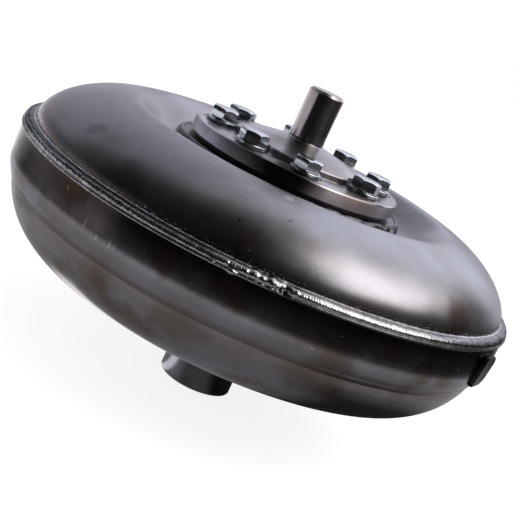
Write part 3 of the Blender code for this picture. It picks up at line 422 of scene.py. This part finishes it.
# Weld metal as laid: bright ripples, with painted shade darkening parts of the bead for its dark reflections.
# A painted shade is (radii, heights, bearings, how dark).
beadSteel = roughMetal("arcWeldMetal", {
    "roughness": (0.18, 0.32), "stainSize": 5.0, "grainSize": 0.8, "grainRelief": 0.035,
    "colours": [(0.34, "#8b8683"), (0.5, "#bdbabb"), (0.64, "#efedef")],
    "paintedShade": [((139.2, 142.2), (104.7, 107.6), (-150.0, -3.0), 0.9),
              ((139.0, 146.0), (100.0, 107.6), (-150.0, -64.0), 0.5),
              ((61.0, 72.0), (120.0, 134.0), (-200.0, 200.0), 0.8),
              ((139.0, 141.6), (104.8, 107.6), (52.0, 200.0), 0.5),
              ((139.0, 141.4), (104.8, 107.6), (6.0, 200.0), 0.5),
              ((141.4, 146.0), (103.3, 107.6), (44.0, 200.0), 0.66),
              ((139.0, 146.0), (100.0, 103.3), (4.0, 200.0), 0.85)]})
# Bright zinc plating: bluish silver with a little haze from handling.
zincPlate = roughMetal("brightZincPlate", {
    "roughness": (0.12, 0.24), "stainSize": 6.0, "grainSize": 0.5, "grainRelief": 0.004,
    "colours": [(0.3, "#bcc4cb"), (0.7, "#dfe3e7")]})

print("materials made")


# Front cover and impeller shell

shellLook = {"wall": 4.5, "sides": 288, "spacing": 2.2, "fineStretch": (71.0, 78.0, 0.14),
             "dieLines": [(76.3, 0.26), (73.2, 0.2)], "dieLineWidth": 0.4}
# An oval is (centre, reach, rise, fullness): a circle has fullness 2, a squarer curve more
coverOval = ((92.4, 107.3), 45.6, 28.8, 1.7)
bowlOval = ((99.2, 89.6), 41.5, 46.5, 2.09)
bowlInnerOval = ((99.2, 89.6), 63.4, 46.5, 2.09)


def oval(centre, reach, rise, fullness, degrees):
    c, s = math.cos(math.radians(degrees)), math.sin(math.radians(degrees))
    return (centre[0] + reach * math.copysign(abs(c) ** (2.0 / fullness), c),
            centre[1] + rise * math.copysign(abs(s) ** (2.0 / fullness), s))


coverSection = [(0.0, 122.0), (30.0, 122.0), (60.0, 122.0), (70.0, 122.0), (77.5, 125.3), (84.9, 131.8)]
coverSection += [oval(*coverOval, d) for d in (90, 75, 60, 45, 30, 15, 0)]
coverSection += [(138.0, 101.0), (138.0, 96.0), (138.0, 90.0)]
coverPath = smoothPath(coverSection, shellLook["spacing"])
coverInner = innerPath(coverPath, shellLook["wall"])
coverShell = newPiece("coverShell", turnedMesh(coverPath + coverInner[::-1], shellLook["sides"], closed=False),
                      coverSteel)
onHousing(coverShell, "shell_steel", "front_cover")

bowlSection = [(142.8, 101.5), (142.8, 94.0), (142.8, 85.5), (142.2, 81.5), (139.9, 76.4), (138.0, 72.6)]
bowlSection += [oval(*bowlOval, d) for d in (-25, -35, -45, -56, -67, -78, -90)]
bowlSection += [oval(*bowlInnerOval, d) for d in (-101, -111, -121, -130)]
bowlSection += [(50.5, 57.0), (47.0, 57.0), (44.0, 57.0)]
bowlInner = innerPath(smoothPath(bowlSection, shellLook["spacing"]), shellLook["wall"])
bowlPath = [(r - sum(depth * math.exp(-((z - level) / shellLook["dieLineWidth"]) ** 2)
                     for level, depth in shellLook["dieLines"]), z)
            for r, z in smoothPath(bowlSection, shellLook["spacing"], shellLook["fineStretch"])]
impellerBowl = newPiece("impellerBowl", turnedMesh(bowlPath + bowlInner[::-1], shellLook["sides"]), bowlSteel)
onHousing(impellerBowl, "shell_steel", "impeller_shell")
print("shells made")


# Weld bead between skirt and cover. The face is the direction that the bead looks in.

seamLook = {"stations": 3600, "Ripple Count": 600.0, "Ripple Height": 0.26, "Lean": 0.5, "Lump Size": 6.0,
            "Lump Height": 0.5, "Grain Size": 1.5, "Grain Height": 0.3, "Seed": 4.0,
            "Face Out": 0.8, "Face Up": 0.6, "Middle Radius": 142.5, "Middle Height": 105.0,
            "Coarse Bearing": around(-46.0), "Coarse Reach": math.radians(26.0), "Ridge Half": 1.3,
            "Ridge Fade": 2.4}
# Toe line on the cover, sloping face, ridge, groove and the lower toe that laps the skirt
seamSection = [(137.5, 107.0), (138.1, 107.45), (138.6, 107.4), (139.1, 107.0), (139.8, 106.85), (140.6, 106.6),
               (141.4, 106.3), (142.1, 105.9), (142.7, 105.4), (143.1, 104.9), (143.25, 104.3), (143.15, 103.8),
               (143.0, 103.4), (143.2, 103.1), (143.7, 102.9), (144.0, 102.5), (143.9, 102.0), (143.4, 101.7),
               (142.6, 101.6), (138.4, 101.6)]
# Where the weld starts and stops: bearing, height, radius and rise of each lump or pit, in degrees and mm
stopMarks = [(8.0, 104.3, 3.4, -2.0), (10.2, 105.4, 1.8, 0.4), (5.3, 105.4, 3.2, 1.2), (3.6, 104.7, 2.6, 0.6),
             (2.0, 105.4, 3.0, 0.8), (0.2, 104.9, 2.2, 0.5), (-2.2, 102.4, 3.4, 1.0), (-6.0, 102.6, 2.4, 0.4),
             (-3.4, 105.0, 1.2, 0.5)]


def rippleTree(marks):
    tree, given = nodeTree("weldRipples", {label: "Float" for label in seamLook if label != "stations"})
    add = partial(addNode, tree)
    place, parts, ring, radius = cylinderOf(tree, add("GeometryNodeInputPosition"))
    height = parts[2]
    angle = add("ARCTAN2", parts[1], parts[0])
    # distance to either side of the bead's middle line
    across = add("ABSOLUTE", add(
        "SUBTRACT", add("MULTIPLY", add("SUBTRACT", height, given["Middle Height"]), given["Face Out"]),
        add("MULTIPLY", add("SUBTRACT", radius, given["Middle Radius"]), given["Face Up"])))

    def cloud(size, detail):
        return add(noise, {"Vector": place, "W": given["Seed"], "Scale": add("DIVIDE", 1.0, size),
                           "Detail": detail, "Roughness": 0.6}, noise_dimensions="4D").outputs[0]

    # each ripple rises quickly and falls slowly, and leans away from the middle line
    count = add("MULTIPLY", add("DIVIDE", angle, 2.0 * math.pi), given["Ripple Count"])
    phase = add("ADD", count, add("MULTIPLY_ADD", across, given["Lean"], add("MULTIPLY", cloud(9.0, 2.0), 3.0)))
    saw = add("FRACT", phase)
    scale = add("MULTIPLY", add("SUBTRACT", 1.0, add("POWER", saw, 2.2)),
                add("MINIMUM", add("MULTIPLY", saw, 4.0), 1.0))
    # ripples stand out in some stretches and fade in others, and are coarse in one
    vary = add(mapRange, {0: cloud(16.0, 2.0), 1: 0.3, 2: 0.7, 3: 0.3, 4: 1.2})
    astray = add("DIVIDE", add("ABSOLUTE", add("SUBTRACT", angle, given["Coarse Bearing"])), given["Coarse Reach"])
    coarse = add(mapRange, {0: astray, 1: 1.2, 2: 0.8, 3: 1.0, 4: 3.2}, **smooth)
    lift = add("MULTIPLY", add("MULTIPLY", scale, vary), given["Ripple Height"])
    lift = add("MULTIPLY_ADD", add("SUBTRACT", cloud(given["Grain Size"], 2.0), 0.5), given["Grain Height"], lift)
    ridge = add(mapRange, {0: across, 1: given["Ridge Fade"], 2: given["Ridge Half"], 3: 0.12}, **smooth)
    lift = add("MULTIPLY", add("MULTIPLY", lift, coarse), ridge)
    lift = add("MULTIPLY_ADD", add("SUBTRACT", cloud(given["Lump Size"], 3.0), 0.5), given["Lump Height"], lift)
    for bearingOf, markHeight, size, rise in marks:
        gap = add("MULTIPLY", add("SUBTRACT", angle, around(bearingOf)), radius)
        drop = add("SUBTRACT", height, markHeight)
        far = add("SQRT", add("ADD", add("MULTIPLY", gap, gap), add("MULTIPLY", drop, drop)))
        lift = add("ADD", lift, add(mapRange, {0: far, 1: size, 2: size * 0.15, 3: 0.0, 4: rise}, **smooth))
    # only what faces outwards moves, so the bead stays closed against the sheet
    normal = add("GeometryNodeInputNormal")
    outward = add(vectorMath, {0: normal, 1: ring}, operation="DOT_PRODUCT").outputs["Value"]
    upward = add("ShaderNodeSeparateXYZ", {0: normal}).outputs[2]
    facing = add("MULTIPLY_ADD", outward, given["Face Out"], add("MULTIPLY", upward, given["Face Up"]))
    exposed = add(mapRange, {0: facing, 1: -0.25, 2: 0.25})
    push = add(vectorMath, {0: normal, "Scale": add("MULTIPLY", add("MULTIPLY", lift, exposed), mm)},
               operation="SCALE")
    moved = add("GeometryNodeSetPosition", {"Geometry": given["Geometry"], "Offset": push})
    return finishTree(tree, moved, given)


def bead(name, section, look, replaced, marks=()):
    piece = grown(name, turnedMesh(section, look["stations"]), rippleTree(marks), look | {"Material": beadSteel})
    piece.data.shade_smooth()
    return onHousing(piece, "weld_bead", replaced)


seamBead = bead("seamBead", seamSection, seamLook, "seam_weld", stopMarks)

ringBeadLook = seamLook | {
    "stations": 1296, "Ripple Count": 214.0, "Ripple Height": 0.12, "Lump Height": 0.4, "Grain Height": 0.2,
    "Seed": 7.0, "Middle Radius": 66.0, "Middle Height": 128.6, "Coarse Bearing": around(66.0),
    "Coarse Reach": math.radians(12.0), "Ridge Half": 3.0, "Ridge Fade": 6.0}
ringBeadSection = [(63.6, 130.7), (64.3, 130.9), (65.0, 130.6), (65.6, 129.8), (66.0, 128.8), (66.3, 127.7),
                   (66.6, 126.5), (67.0, 125.2), (67.5, 124.0), (68.0, 123.0), (68.2, 122.4), (66.0, 122.25),
                   (63.6, 122.25)]
# the bead stands higher at the front right and ends there in a lump
ringMarks = [(12.0, 131.0, 10.0, 0.9), (25.0, 131.0, 10.0, 1.2), (38.0, 131.0, 10.0, 1.3), (51.0, 131.0, 10.0, 1.2),
             (68.0, 127.0, 4.5, 2.2), (61.0, 129.0, 3.4, 1.0), (75.0, 125.4, 3.4, 1.2)]
bead("bossRingBead", ringBeadSection, ringBeadLook, "boss_ring_weld", ringMarks)

hubBeadLook = seamLook | {"stations": 1080, "Ripple Count": 138.0, "Seed": 11.0, "Face Out": 0.6, "Face Up": -0.8,
                          "Middle Radius": 44.0, "Middle Height": 54.6}
hubBeadSection = [(40.4, 56.7), (47.6, 56.7), (47.5, 56.2), (46.8, 55.7), (45.8, 55.1), (44.9, 54.6), (44.0, 54.1),
                  (43.2, 53.7), (42.3, 53.4), (41.4, 53.2), (40.6, 53.2), (40.4, 53.6)]
bead("hubBead", hubBeadSection, hubBeadLook, "hub_weld")


# Spatter: balls of weld metal burnt on along the toe and thinly over the sheet beside it

# An area is (piece, from height, to height, balls to the square metre, least radius)
spatterLook = {"Smallest": 0.1, "Largest": 0.3, "Seed": 21}
spatterAreas = [(coverShell, 107.2, 107.9, 1.0e6, 137.0), (coverShell, 107.9, 113.0, 1.3e3, 120.0),
                (impellerBowl, 84.0, 101.4, 1.2e3, 142.0)]


def spatterTree():
    tree, given = nodeTree("weldSpatter", {"Smallest": "Float", "Largest": "Float", "Seed": "Int"})
    add = partial(addNode, tree)
    joined = add("GeometryNodeJoinGeometry")
    place, parts, ring, radius = cylinderOf(tree, add("GeometryNodeInputPosition"))
    for carrier, low, high, density, inner in spatterAreas:
        sheet = add("GeometryNodeObjectInfo", {"Object": carrier})
        inside = add("MULTIPLY", add("GREATER_THAN", parts[2], low), add("LESS_THAN", parts[2], high))
        inside = add("MULTIPLY", inside, add("GREATER_THAN", radius, inner))
        points = add("GeometryNodeDistributePointsOnFaces", {
            "Mesh": sheet.outputs["Geometry"], "Density": add("MULTIPLY", inside, density),
            "Seed": given["Seed"]}, distribute_method="RANDOM").outputs
        size = add("FunctionNodeRandomValue", {2: given["Smallest"], 3: given["Largest"], "Seed": given["Seed"]},
                   data_type="FLOAT")
        ball = add("GeometryNodeMeshIcoSphere", {"Radius": mm, "Subdivisions": 2})
        copies = add("GeometryNodeInstanceOnPoints", {
            "Points": points["Points"], "Instance": ball.outputs["Mesh"], "Rotation": points["Rotation"],
            "Scale": size.outputs[1]})
        tree.links.new(copies.outputs[0], joined.inputs[0])
    return finishTree(tree, joined, given)


weldSpatter = grown("weldSpatter", bpy.data.meshes.new("spatterSeed"), spatterTree(),
                    spatterLook | {"Material": beadSteel})
weldSpatter.data.shade_smooth()
onHousing(weldSpatter, "weld_bead")
print("welds laid:", len(seamBead.data.polygons), "faces in the seam,",
      len(weldSpatter.data.polygons), "in the spatter")


# Ring on the cover and the pilot flange

flangeLook = {"sides": 288, "boltCircle": 46.0, "seatRadius": 10.2, "seatHeight": 140.2, "cutterHeight": 20.0,
              "sharpAngle": 20.0}
boltBearings = [8.0, 57.5, 98.0, 147.5, 188.0, 237.5, 278.0, 327.5]      # four staggered pairs

ringSection = rounded([(55.0, 132.1, 0.5), (55.0, 130.0, 0.6), (64.0, 130.0, 0.8), (64.0, 122.3, 0.2),
                       (36.0, 122.3, 0.2), (36.0, 132.1, 0.5)], closed=True)
onHousing(newPiece("bossRing", turnedMesh(ringSection, flangeLook["sides"]), greySteel), "dark_steel", "boss_ring")

# Pilot with its chamfer, cone, bolt face with a step, rim, and the boss that centres it in the ring
flangeSection = rounded([
    (0.0, 179.0, 0.0), (8.5, 179.0, 0.3), (10.0, 177.5, 0.3), (10.0, 150.2, 1.6), (38.0, 144.3, 0.4),
    (38.8, 143.5, 0.4), (38.8, 140.5, 0.5), (59.2, 140.5, 0.25), (60.0, 139.7, 0.25), (60.0, 133.2, 0.25),
    (59.2, 132.4, 0.25), (35.7, 132.4, 0.4), (35.7, 128.4, 0.5), (0.0, 128.4, 0.0)])


def spotFaceCutter():
    cutter = bmesh.new()
    radius, depth = flangeLook["seatRadius"] * mm, flangeLook["cutterHeight"] * mm
    for degrees in boltBearings:
        spot = Matrix.Rotation(around(degrees), 4, "Z") @ Matrix.Translation(
            (flangeLook["boltCircle"] * mm, 0.0, flangeLook["seatHeight"] * mm + depth / 2.0))
        bmesh.ops.create_cone(cutter, cap_ends=True, segments=72, radius1=radius, radius2=radius, depth=depth,
                              matrix=spot)
    return placed("spotFaces", meshOf("spotFaces", cutter))


pilotFlange = newPiece("pilotFlange", turnedMesh(flangeSection, flangeLook["sides"], closed=False), turnedSteel)
cutter = spotFaceCutter()
cut = pilotFlange.modifiers.new("spotFaces", "BOOLEAN")
cut.operation, cut.solver, cut.object = "DIFFERENCE", "EXACT", cutter
applied(pilotFlange, cut)
bpy.data.objects.remove(cutter, do_unlink=True)
smoothed(pilotFlange.data, flangeLook["sharpAngle"])
onHousing(pilotFlange, "machined_steel", "pilot_flange")
print("flange turned")


# Screws and spring washers

screwLook = {"acrossFlats": 14.0, "headLow": 143.0, "headHigh": 148.8, "faceRadius": 6.8, "chamfer": 24.0,
             "shankRadius": 5.0, "shankEnd": 125.2, "sides": 96,
             "headTurns": [0.0, 41.0, 57.0, 1.0, 41.0, 42.0, 3.0, 27.0]}
washerLook = {"bore": 5.3, "outer": 8.6, "low": 140.5, "high": 142.7, "edge": 0.25, "split": 7.0, "steps": 60,
              "splitTurn": 150.0}


def screwMesh():
    half, face, shank, low, high, end = (screwLook[k] for k in (
        "acrossFlats", "faceRadius", "shankRadius", "headLow", "headHigh", "shankEnd"))
    half /= 2.0
    slope = math.tan(math.radians(screwLook["chamfer"]))
    columns = []
    for k in range(screwLook["sides"]):
        a = 2.0 * math.pi * k / screwLook["sides"]
        side = half / math.cos(math.pi / 6.0 - abs((a + math.pi / 6.0) % (math.pi / 3.0) - math.pi / 6.0))
        reach, foot = side - face, max(0.0, side - half) * 0.4
        profile = [(face * 0.985, high), (face, high - 0.03)]
        profile += [(face + reach * s, high - reach * s * slope - 0.03) for s in (0.15, 0.5, 0.85)]
        profile += [(side - 0.05, high - reach * slope - 0.05), (side, high - reach * slope - 0.15),
                    (side, (low + high) / 2.0), (side, low + 0.2 + foot), (side - 0.1, low + 0.05 + foot),
                    (half * 0.96, low), (shank + 0.2, low), (shank, low - 0.2), (shank, end + 0.8),
                    (shank - 0.8, end)]
        columns.append([polar(r, a, z) for r, z in profile])
    shape = bmesh.new()
    skin(shape, [[shape.verts.new(point) for point in ring] for ring in zip(*columns)])
    return meshOf("screw", shape)


def washerMesh():
    inner, outer, low, high, edge, split, steps = (washerLook[k] for k in (
        "bore", "outer", "low", "high", "edge", "split", "steps"))
    profile = [(inner, low + edge), (inner, high - edge), (inner + edge, high), (outer - edge, high),
               (outer, high - edge), (outer, low + edge), (outer - edge, low), (inner + edge, low)]
    shape = bmesh.new()
    turns = [math.radians(split / 2.0 + (360.0 - split) * k / steps) for k in range(steps + 1)]
    skin(shape, [[shape.verts.new(polar(r, a, z)) for r, z in profile] for a in turns])
    return meshOf("washer", shape)


def circleTree():
    tree, given = nodeTree("copiesOnBoltCircle", {"Part": "Object"})
    part = addNode(tree, "GeometryNodeObjectInfo", {"Object": given["Part"]})
    turn = addNode(tree, "GeometryNodeInputNamedAttribute", {"Name": "headTurn"}, data_type="FLOAT")
    copies = addNode(tree, "GeometryNodeInstanceOnPoints", {
        "Points": given["Geometry"], "Instance": part.outputs["Geometry"],
        "Rotation": addNode(tree, combine, {2: turn.outputs["Attribute"]})})
    return finishTree(tree, copies, given)


def onBoltCircle(name, mesh, turns, replaced):
    points = bpy.data.meshes.new(name + "Points")
    points.from_pydata([polar(flangeLook["boltCircle"], around(d), 0.0) for d in boltBearings], [], [])
    attribute = points.attributes.new("headTurn", "FLOAT", "POINT")
    for item, degrees in zip(attribute.data, turns):
        item.value = around(degrees)
    part = placed(name + "Part", mesh)
    piece = grown(name, points, circleTree(), {"Part": part, "Material": zincPlate})
    bpy.data.objects.remove(part, do_unlink=True)
    smoothed(piece.data, 30.0)
    onHousing(piece, "zinc_plate", *["%s_%d" % (replaced, n + 1) for n in range(len(boltBearings))])


onBoltCircle("flangeScrews", screwMesh(), screwLook["headTurns"], "flange_bolt")
onBoltCircle("springWashers", washerMesh(), [2.3 * d + washerLook["splitTurn"] for d in boltBearings],
             "spring_washer")
print("screws and washers placed")


# Hub with its welds, and the balance weight

hubLook = {"sides": 192}
hubSection = rounded([(21.0, 57.0, 0.3), (21.0, 0.0, 1.2), (17.0, 0.0, 1.0), (17.0, 66.0, 0.8),
                      (43.7, 66.0, 0.8), (43.7, 57.0, 0.5)], closed=True)
onHousing(newPiece("driveHub", turnedMesh(hubSection, hubLook["sides"]), darkSteel), "dark_steel", "impeller_hub")

plateLook = {"width": 17.0, "height": 18.0, "thickness": 2.5, "corner": 4.0, "edge": 0.35, "bearing": 66.3,
             "middle": 89.0, "seat": 143.1, "lean": 1.8}


def plateMesh():
    half, tall, thickness, corner, edge, middle, seat = (plateLook[k] for k in (
        "width", "height", "thickness", "corner", "edge", "middle", "seat"))
    half, tall = half / 2.0, tall / 2.0
    outline = []
    for n, (side, up) in enumerate([(1, 1), (-1, 1), (-1, -1), (1, -1)]):
        for k in range(9):
            a = math.radians(90.0 * n + 90.0 * k / 8)
            outline.append((side * (half - corner) + corner * math.cos(a),
                            up * (tall - corner) + corner * math.sin(a)))
    shape = bmesh.new()
    skin(shape, [[shape.verts.new(((seat + depth) * mm, y * (1 - inset / half) * mm,
                                   (middle + z * (1 - inset / tall)) * mm)) for y, z in outline]
                 for inset, depth in ((edge, 0.0), (0.0, edge), (0.0, thickness - edge), (edge, thickness))])
    for vert in shape.verts:                                   # its foot follows the skirt inwards
        below = max(0.0, middle * mm + 0.3 * tall * mm - vert.co.z) / (1.3 * tall * mm)
        vert.co.x -= plateLook["lean"] * mm * below ** 1.5
    bmesh.ops.transform(shape, matrix=Matrix.Rotation(around(plateLook["bearing"]), 4, "Z"), verts=shape.verts)
    return meshOf("plate", shape)


onHousing(newPiece("balancePlate", plateMesh(), blackSteel, 30.0), "shell_steel", "balance_weight")
print("hub and balance plate made")


# Nodes that keep their CAD shapes

# Stamped sheet: dull grey, with the smooth waviness of the press.
stampedSteel = turnedMetal("stampedSheetSteel", {
    "roughness": (0.32, 0.45), "lineSpacing": 1.4, "lineDrift": 4.0, "lineDepth": 0.15, "lineRelief": 0.01,
    "stainSize": 20.0, "grainSize": 0.8, "grainRelief": 0.01, "colours": [(0.3, "#7b7775"), (0.7, "#9b999a")]})
# Hardened and ground: near to a mirror, with fine rings.
groundSteel = turnedMetal("groundBearingSteel", {
    "roughness": (0.14, 0.24), "lineSpacing": 0.2, "lineDrift": 0.5, "lineDepth": 0.2, "lineRelief": 0.006,
    "stainSize": 16.0, "grainSize": 0.5, "grainRelief": 0.002, "colours": [(0.3, "#a9abaf"), (0.7, "#c8cacd")]})
# Sand casting: pale and matt, with the grain of the mould.
castAluminium = roughMetal("sandCastAluminium", {
    "roughness": (0.45, 0.62), "stainSize": 12.0, "grainSize": 0.7, "grainRelief": 0.05,
    "colours": [(0.3, "#9a9b9c"), (0.7, "#c4c5c6")]})
# Tempered spring steel: the blue of its oxide.
springSteel = roughMetal("bluedSpringSteel", {
    "roughness": (0.25, 0.36), "stainSize": 5.0, "grainSize": 0.5, "grainRelief": 0.01,
    "colours": [(0.3, "#3a4352"), (0.7, "#5d6674")]})
# Moulded resin: brown and matt, the one piece that is no metal.
phenolicResin = roughMetal("mouldedPhenolicResin", {
    "metallic": 0.0, "roughness": (0.45, 0.6), "stainSize": 4.0, "grainSize": 0.5, "grainRelief": 0.02,
    "colours": [(0.3, "#3b2416"), (0.7, "#5f3b22")]})

finishes = {"impeller_blade": stampedSteel, "turbine_shell": stampedSteel, "turbine_blade": stampedSteel,
            "turbine_hub": turnedSteel, "turbine_rivet": turnedSteel, "stator_wheel": castAluminium,
            "clutch_spring": springSteel, "clutch_snap": springSteel, "stator_thrust": phenolicResin}
for name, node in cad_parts.items():
    finish = next((value for start, value in finishes.items() if name.startswith(start)), groundSteel)
    node.data.materials.clear()
    node.data.materials.append(finish)
print("inner parts finished")


# Camera at the photograph's view

cameraLook = {"place": (0.0, -0.6552, 0.23246), "pitch": 0.230171, "yaw": 0.0080688, "roll": -0.0031925,
              "pictureRoll": math.radians(25.4248), "lens": 83.53}


def makeCamera():
    pitch, yaw = cameraLook["pitch"], cameraLook["yaw"]
    ahead = Vector((math.sin(yaw) * math.cos(pitch), math.cos(yaw) * math.cos(pitch), -math.sin(pitch)))
    right = ahead.cross(Vector((0.0, 0.0, 1.0))).normalized()
    up = right.cross(ahead)
    for angle in (cameraLook["roll"], cameraLook["pictureRoll"]):
        right, up = (right * math.cos(angle) + up * math.sin(angle), up * math.cos(angle) - right * math.sin(angle))
    data = bpy.data.cameras.new("camera")
    data.lens, data.sensor_width, data.sensor_fit = cameraLook["lens"], 36.0, "HORIZONTAL"
    data.clip_start, data.clip_end = 0.01, 50.0
    stage.camera = placed("camera", data)
    stage.camera.matrix_world = (Matrix.Translation(cameraLook["place"])
                                 @ Matrix((right, up, -ahead)).transposed().to_4x4())


makeCamera()


# Floor, surroundings and lamp, in metres. Polished steel shows nothing but these, so cards that only
# reflections see stand in for the room of the photograph.

studioLook = {"floorSize": 16.0, "floorColour": "#a6a6a6", "floorGlow": 0.84, "worldForDiffuse": 0.7,
              "middle": 0.1, "cardSteps": 16}
# A card is (bearings, elevations, distance, tint, how bright it looks in a mirror from first bearing to last)
cards = {
    "blackFlag": ((-110.0, 48.0), (-3.0, 84.0), 2.0, "#ffffff", [0.1, 0.015, 0.008, 0.015, 0.06]),
    "lowFlag": ((48.0, 138.0), (-3.0, 34.0), 2.0, "#ffffff", [0.1, 0.06, 0.16]),
    "backWall": ((138.0, 250.0), (14.0, 70.0), 2.0, "#eaefff", [1.6, 1.5, 0.66, 0.46, 0.36]),
    "lowWall": ((138.0, 250.0), (-3.0, 14.0), 2.0, "#f4efff", [0.95, 0.7, 0.42, 0.8, 0.8, 0.5, 0.42, 0.3, 0.15]),
    "softBox": ((44.0, 140.0), (34.0, 71.0), 1.9, "#fffdff", [2.0, 3.4, 3.4, 2.0, 0.6]),
    "ceiling": ((-180.0, 180.0), (74.0, 90.0), 2.05, "#ffffff", [0.05, 0.05, 0.07, 0.5, 0.05])}


def seenDirectly(tree):
    # one for camera, glossy and transmission rays
    path = addNode(tree, "ShaderNodeLightPath").outputs
    return addNode(tree, "MAXIMUM", addNode(tree, "MAXIMUM", path["Is Camera Ray"], path["Is Glossy Ray"]),
                   path["Is Transmission Ray"])


def makeWorld():
    stage.world = bpy.data.worlds.new("studio")
    stage.world.use_nodes = True
    tree = stage.world.node_tree
    strength = addNode(tree, mapRange, {0: seenDirectly(tree), 3: studioLook["worldForDiffuse"], 4: 1.0})
    setInputs(tree, tree.nodes["Background"], {"Color": (1.0, 1.0, 1.0, 1.0), "Strength": strength})


def hangCard(name, corners, faces, material):
    mesh = bpy.data.meshes.new(name)
    mesh.from_pydata(corners, [], faces)
    mesh.materials.append(material)
    card = placed(name, mesh)
    return card


def square(half, height):
    return [(x * half, y * half, height) for x, y in ((-1, -1), (1, -1), (1, 1), (-1, 1))], [(0, 1, 2, 3)]


def makeFloor():
    material, tree, shader = newMaterial("paleFloor")
    setInputs(tree, shader, {
        "Base Color": hexToLinear(studioLook["floorColour"]), "Roughness": 0.9, "Specular IOR Level": 0.0,
        "Emission Color": (1.0, 1.0, 1.0, 1.0),
        "Emission Strength": addNode(tree, "MULTIPLY", seenDirectly(tree), studioLook["floorGlow"])})
    hangCard("floor", *square(studioLook["floorSize"] / 2.0, 0.0), material)


def onlyReflected(card):
    for ray in ("camera", "diffuse", "shadow", "transmission", "volume_scatter"):
        setattr(card, "visible_" + ray, False)


def glowing(name, colour):
    material, tree, shader = newMaterial(name)
    tree.nodes.remove(shader)
    glow = addNode(tree, "ShaderNodeEmission", {"Color": hexToLinear(colour)})
    setInputs(tree, tree.nodes["Material Output"], {"Surface": glow})
    return material, tree, glow


def studioCard(name, turns, rises, distance, colour, levels):
    # a bent card from one bearing to another, as bright as its levels say from first to last
    steps = studioLook["cardSteps"]
    corners = []
    for i in range(steps + 1):
        for j in range(steps + 1):
            a = around(turns[0] + (turns[1] - turns[0]) * i / steps)
            e = math.radians(rises[0] + (rises[1] - rises[0]) * j / steps)
            corners.append((distance * math.cos(e) * math.cos(a), distance * math.cos(e) * math.sin(a),
                            studioLook["middle"] + distance * math.sin(e)))
    faces = [(i * (steps + 1) + j, (i + 1) * (steps + 1) + j, (i + 1) * (steps + 1) + j + 1, i * (steps + 1) + j + 1)
             for i in range(steps) for j in range(steps)]
    material, tree, glow = glowing(name, colour)
    half = math.radians(turns[1] - turns[0]) / 2.0
    share = addNode(tree, mapRange, {0: bearing(tree, (turns[0] + turns[1]) / 2.0), 1: -half, 2: half})
    peak = max(levels)
    shape = addNode(tree, ramp, {0: share}, stops=[(i / (len(levels) - 1), value / peak)
                                                   for i, value in enumerate(levels)])
    setInputs(tree, glow, {"Strength": addNode(tree, "MULTIPLY", shape, peak)})
    onlyReflected(hangCard(name, corners, faces, material))


# Bright zones are (bearing, degrees to either side where it ends, and where it is full).
# Stretches are (radius where it starts, radius where it is full).
tableLook = {"tint": "#fbf9ff", "half": 2.5, "height": 0.0004, "radius": 0.37, "edge": 0.04,
             "window": (-170.0, 62.0, 12.0), "windowGlow": 1.5, "windowOnTable": 0.15, "beyondGlow": 0.015,
             "strip": (-95.0, 48.0, 36.0), "stripStretch": (0.5, 0.62), "stripGlow": 1.3,
             "lit": (-120.0, 170.0, 20.0), "litGlow": (0.26, 0.36), "outward": (0.12, 0.34, 0.85, 1.75),
             "shade": (95.0, 75.0, 45.0), "shadeStretch": (0.2, 0.14), "shadeDepth": -0.9,
             "pool": (-72.0, 17.0, 8.5), "poolStretch": (0.125, 0.1), "poolGlow": 1.3}


def tableCard(name, look):
    # dark cloth on the floor beyond a grey table top, bright where the window behind lights it
    material, tree, glow = glowing(name, look["tint"])
    add = partial(addNode, tree)
    away = add(vectorMath, {0: add("ShaderNodeTexCoord").outputs["Object"]}, operation="LENGTH").outputs["Value"]

    def zone(key, low=0.0, high=1.0):
        towards, ends, full = look[key]
        turn = add("ABSOLUTE", bearing(tree, towards))
        return add(mapRange, {0: turn, 1: math.radians(ends), 2: math.radians(full), 3: low, 4: high}, **smooth)

    def stretch(start, full):
        return add(mapRange, {0: away, 1: start, 2: full}, **smooth)

    window = zone("window")
    beyond = add("MULTIPLY_ADD", window, look["windowGlow"], look["beyondGlow"])
    # a pale strip of floor far out on the left, which only the pilot and the hub look at
    strip = add("MULTIPLY", zone("strip"), stretch(*look["stripStretch"]))
    beyond = add("MULTIPLY_ADD", strip, look["stripGlow"], beyond)
    start, end, first, last = look["outward"]
    outward = add(mapRange, {0: away, 1: start, 2: end, 3: first, 4: last})
    table = add("MULTIPLY_ADD", window, look["windowOnTable"], zone("lit", *look["litGlow"]))
    table = add("MULTIPLY", table, outward)
    # a painted shadow of the converter on the table, to the right of the hub
    shade = add("MULTIPLY", zone("shade"), stretch(*look["shadeStretch"]))
    table = add("MULTIPLY", table, add("MULTIPLY_ADD", shade, look["shadeDepth"], 1.0))
    # a painted pool of light that the bowl's left side looks at
    pool = add("MULTIPLY", zone("pool"), stretch(*look["poolStretch"]))
    table = add("MULTIPLY_ADD", pool, look["poolGlow"], table)
    edge = stretch(look["radius"], look["radius"] + look["edge"])
    setInputs(tree, glow, {"Strength": add(mix, {0: edge, 2: table, 3: beyond})})
    onlyReflected(hangCard(name, *square(look["half"], look["height"]), material))


makeWorld()
makeFloor()
for name, look in cards.items():
    studioCard(name, *look)
tableCard("tableTop", tableLook)

# Soft key light from the right, which lights the floor more than the steel
lampLook = {"place": (1.1, -0.2, 1.4), "size": (1.4, 0.9), "power": 12.0}
keyLight = bpy.data.lights.new("keyLamp", "AREA")
keyLight.shape, keyLight.energy = "RECTANGLE", lampLook["power"]
keyLight.size, keyLight.size_y = lampLook["size"]
keyLamp = placed("keyLamp", keyLight)
keyLamp.location = lampLook["place"]
keyLamp.rotation_mode = "QUATERNION"
keyLamp.rotation_quaternion = (keyLamp.location - Vector((0.0, 0.0, studioLook["middle"]))).to_track_quat("Z", "Y")
keyLamp.visible_glossy = False

stage.view_settings.view_transform = "Standard"
bpy.context.view_layer.update()
print("scene ready")
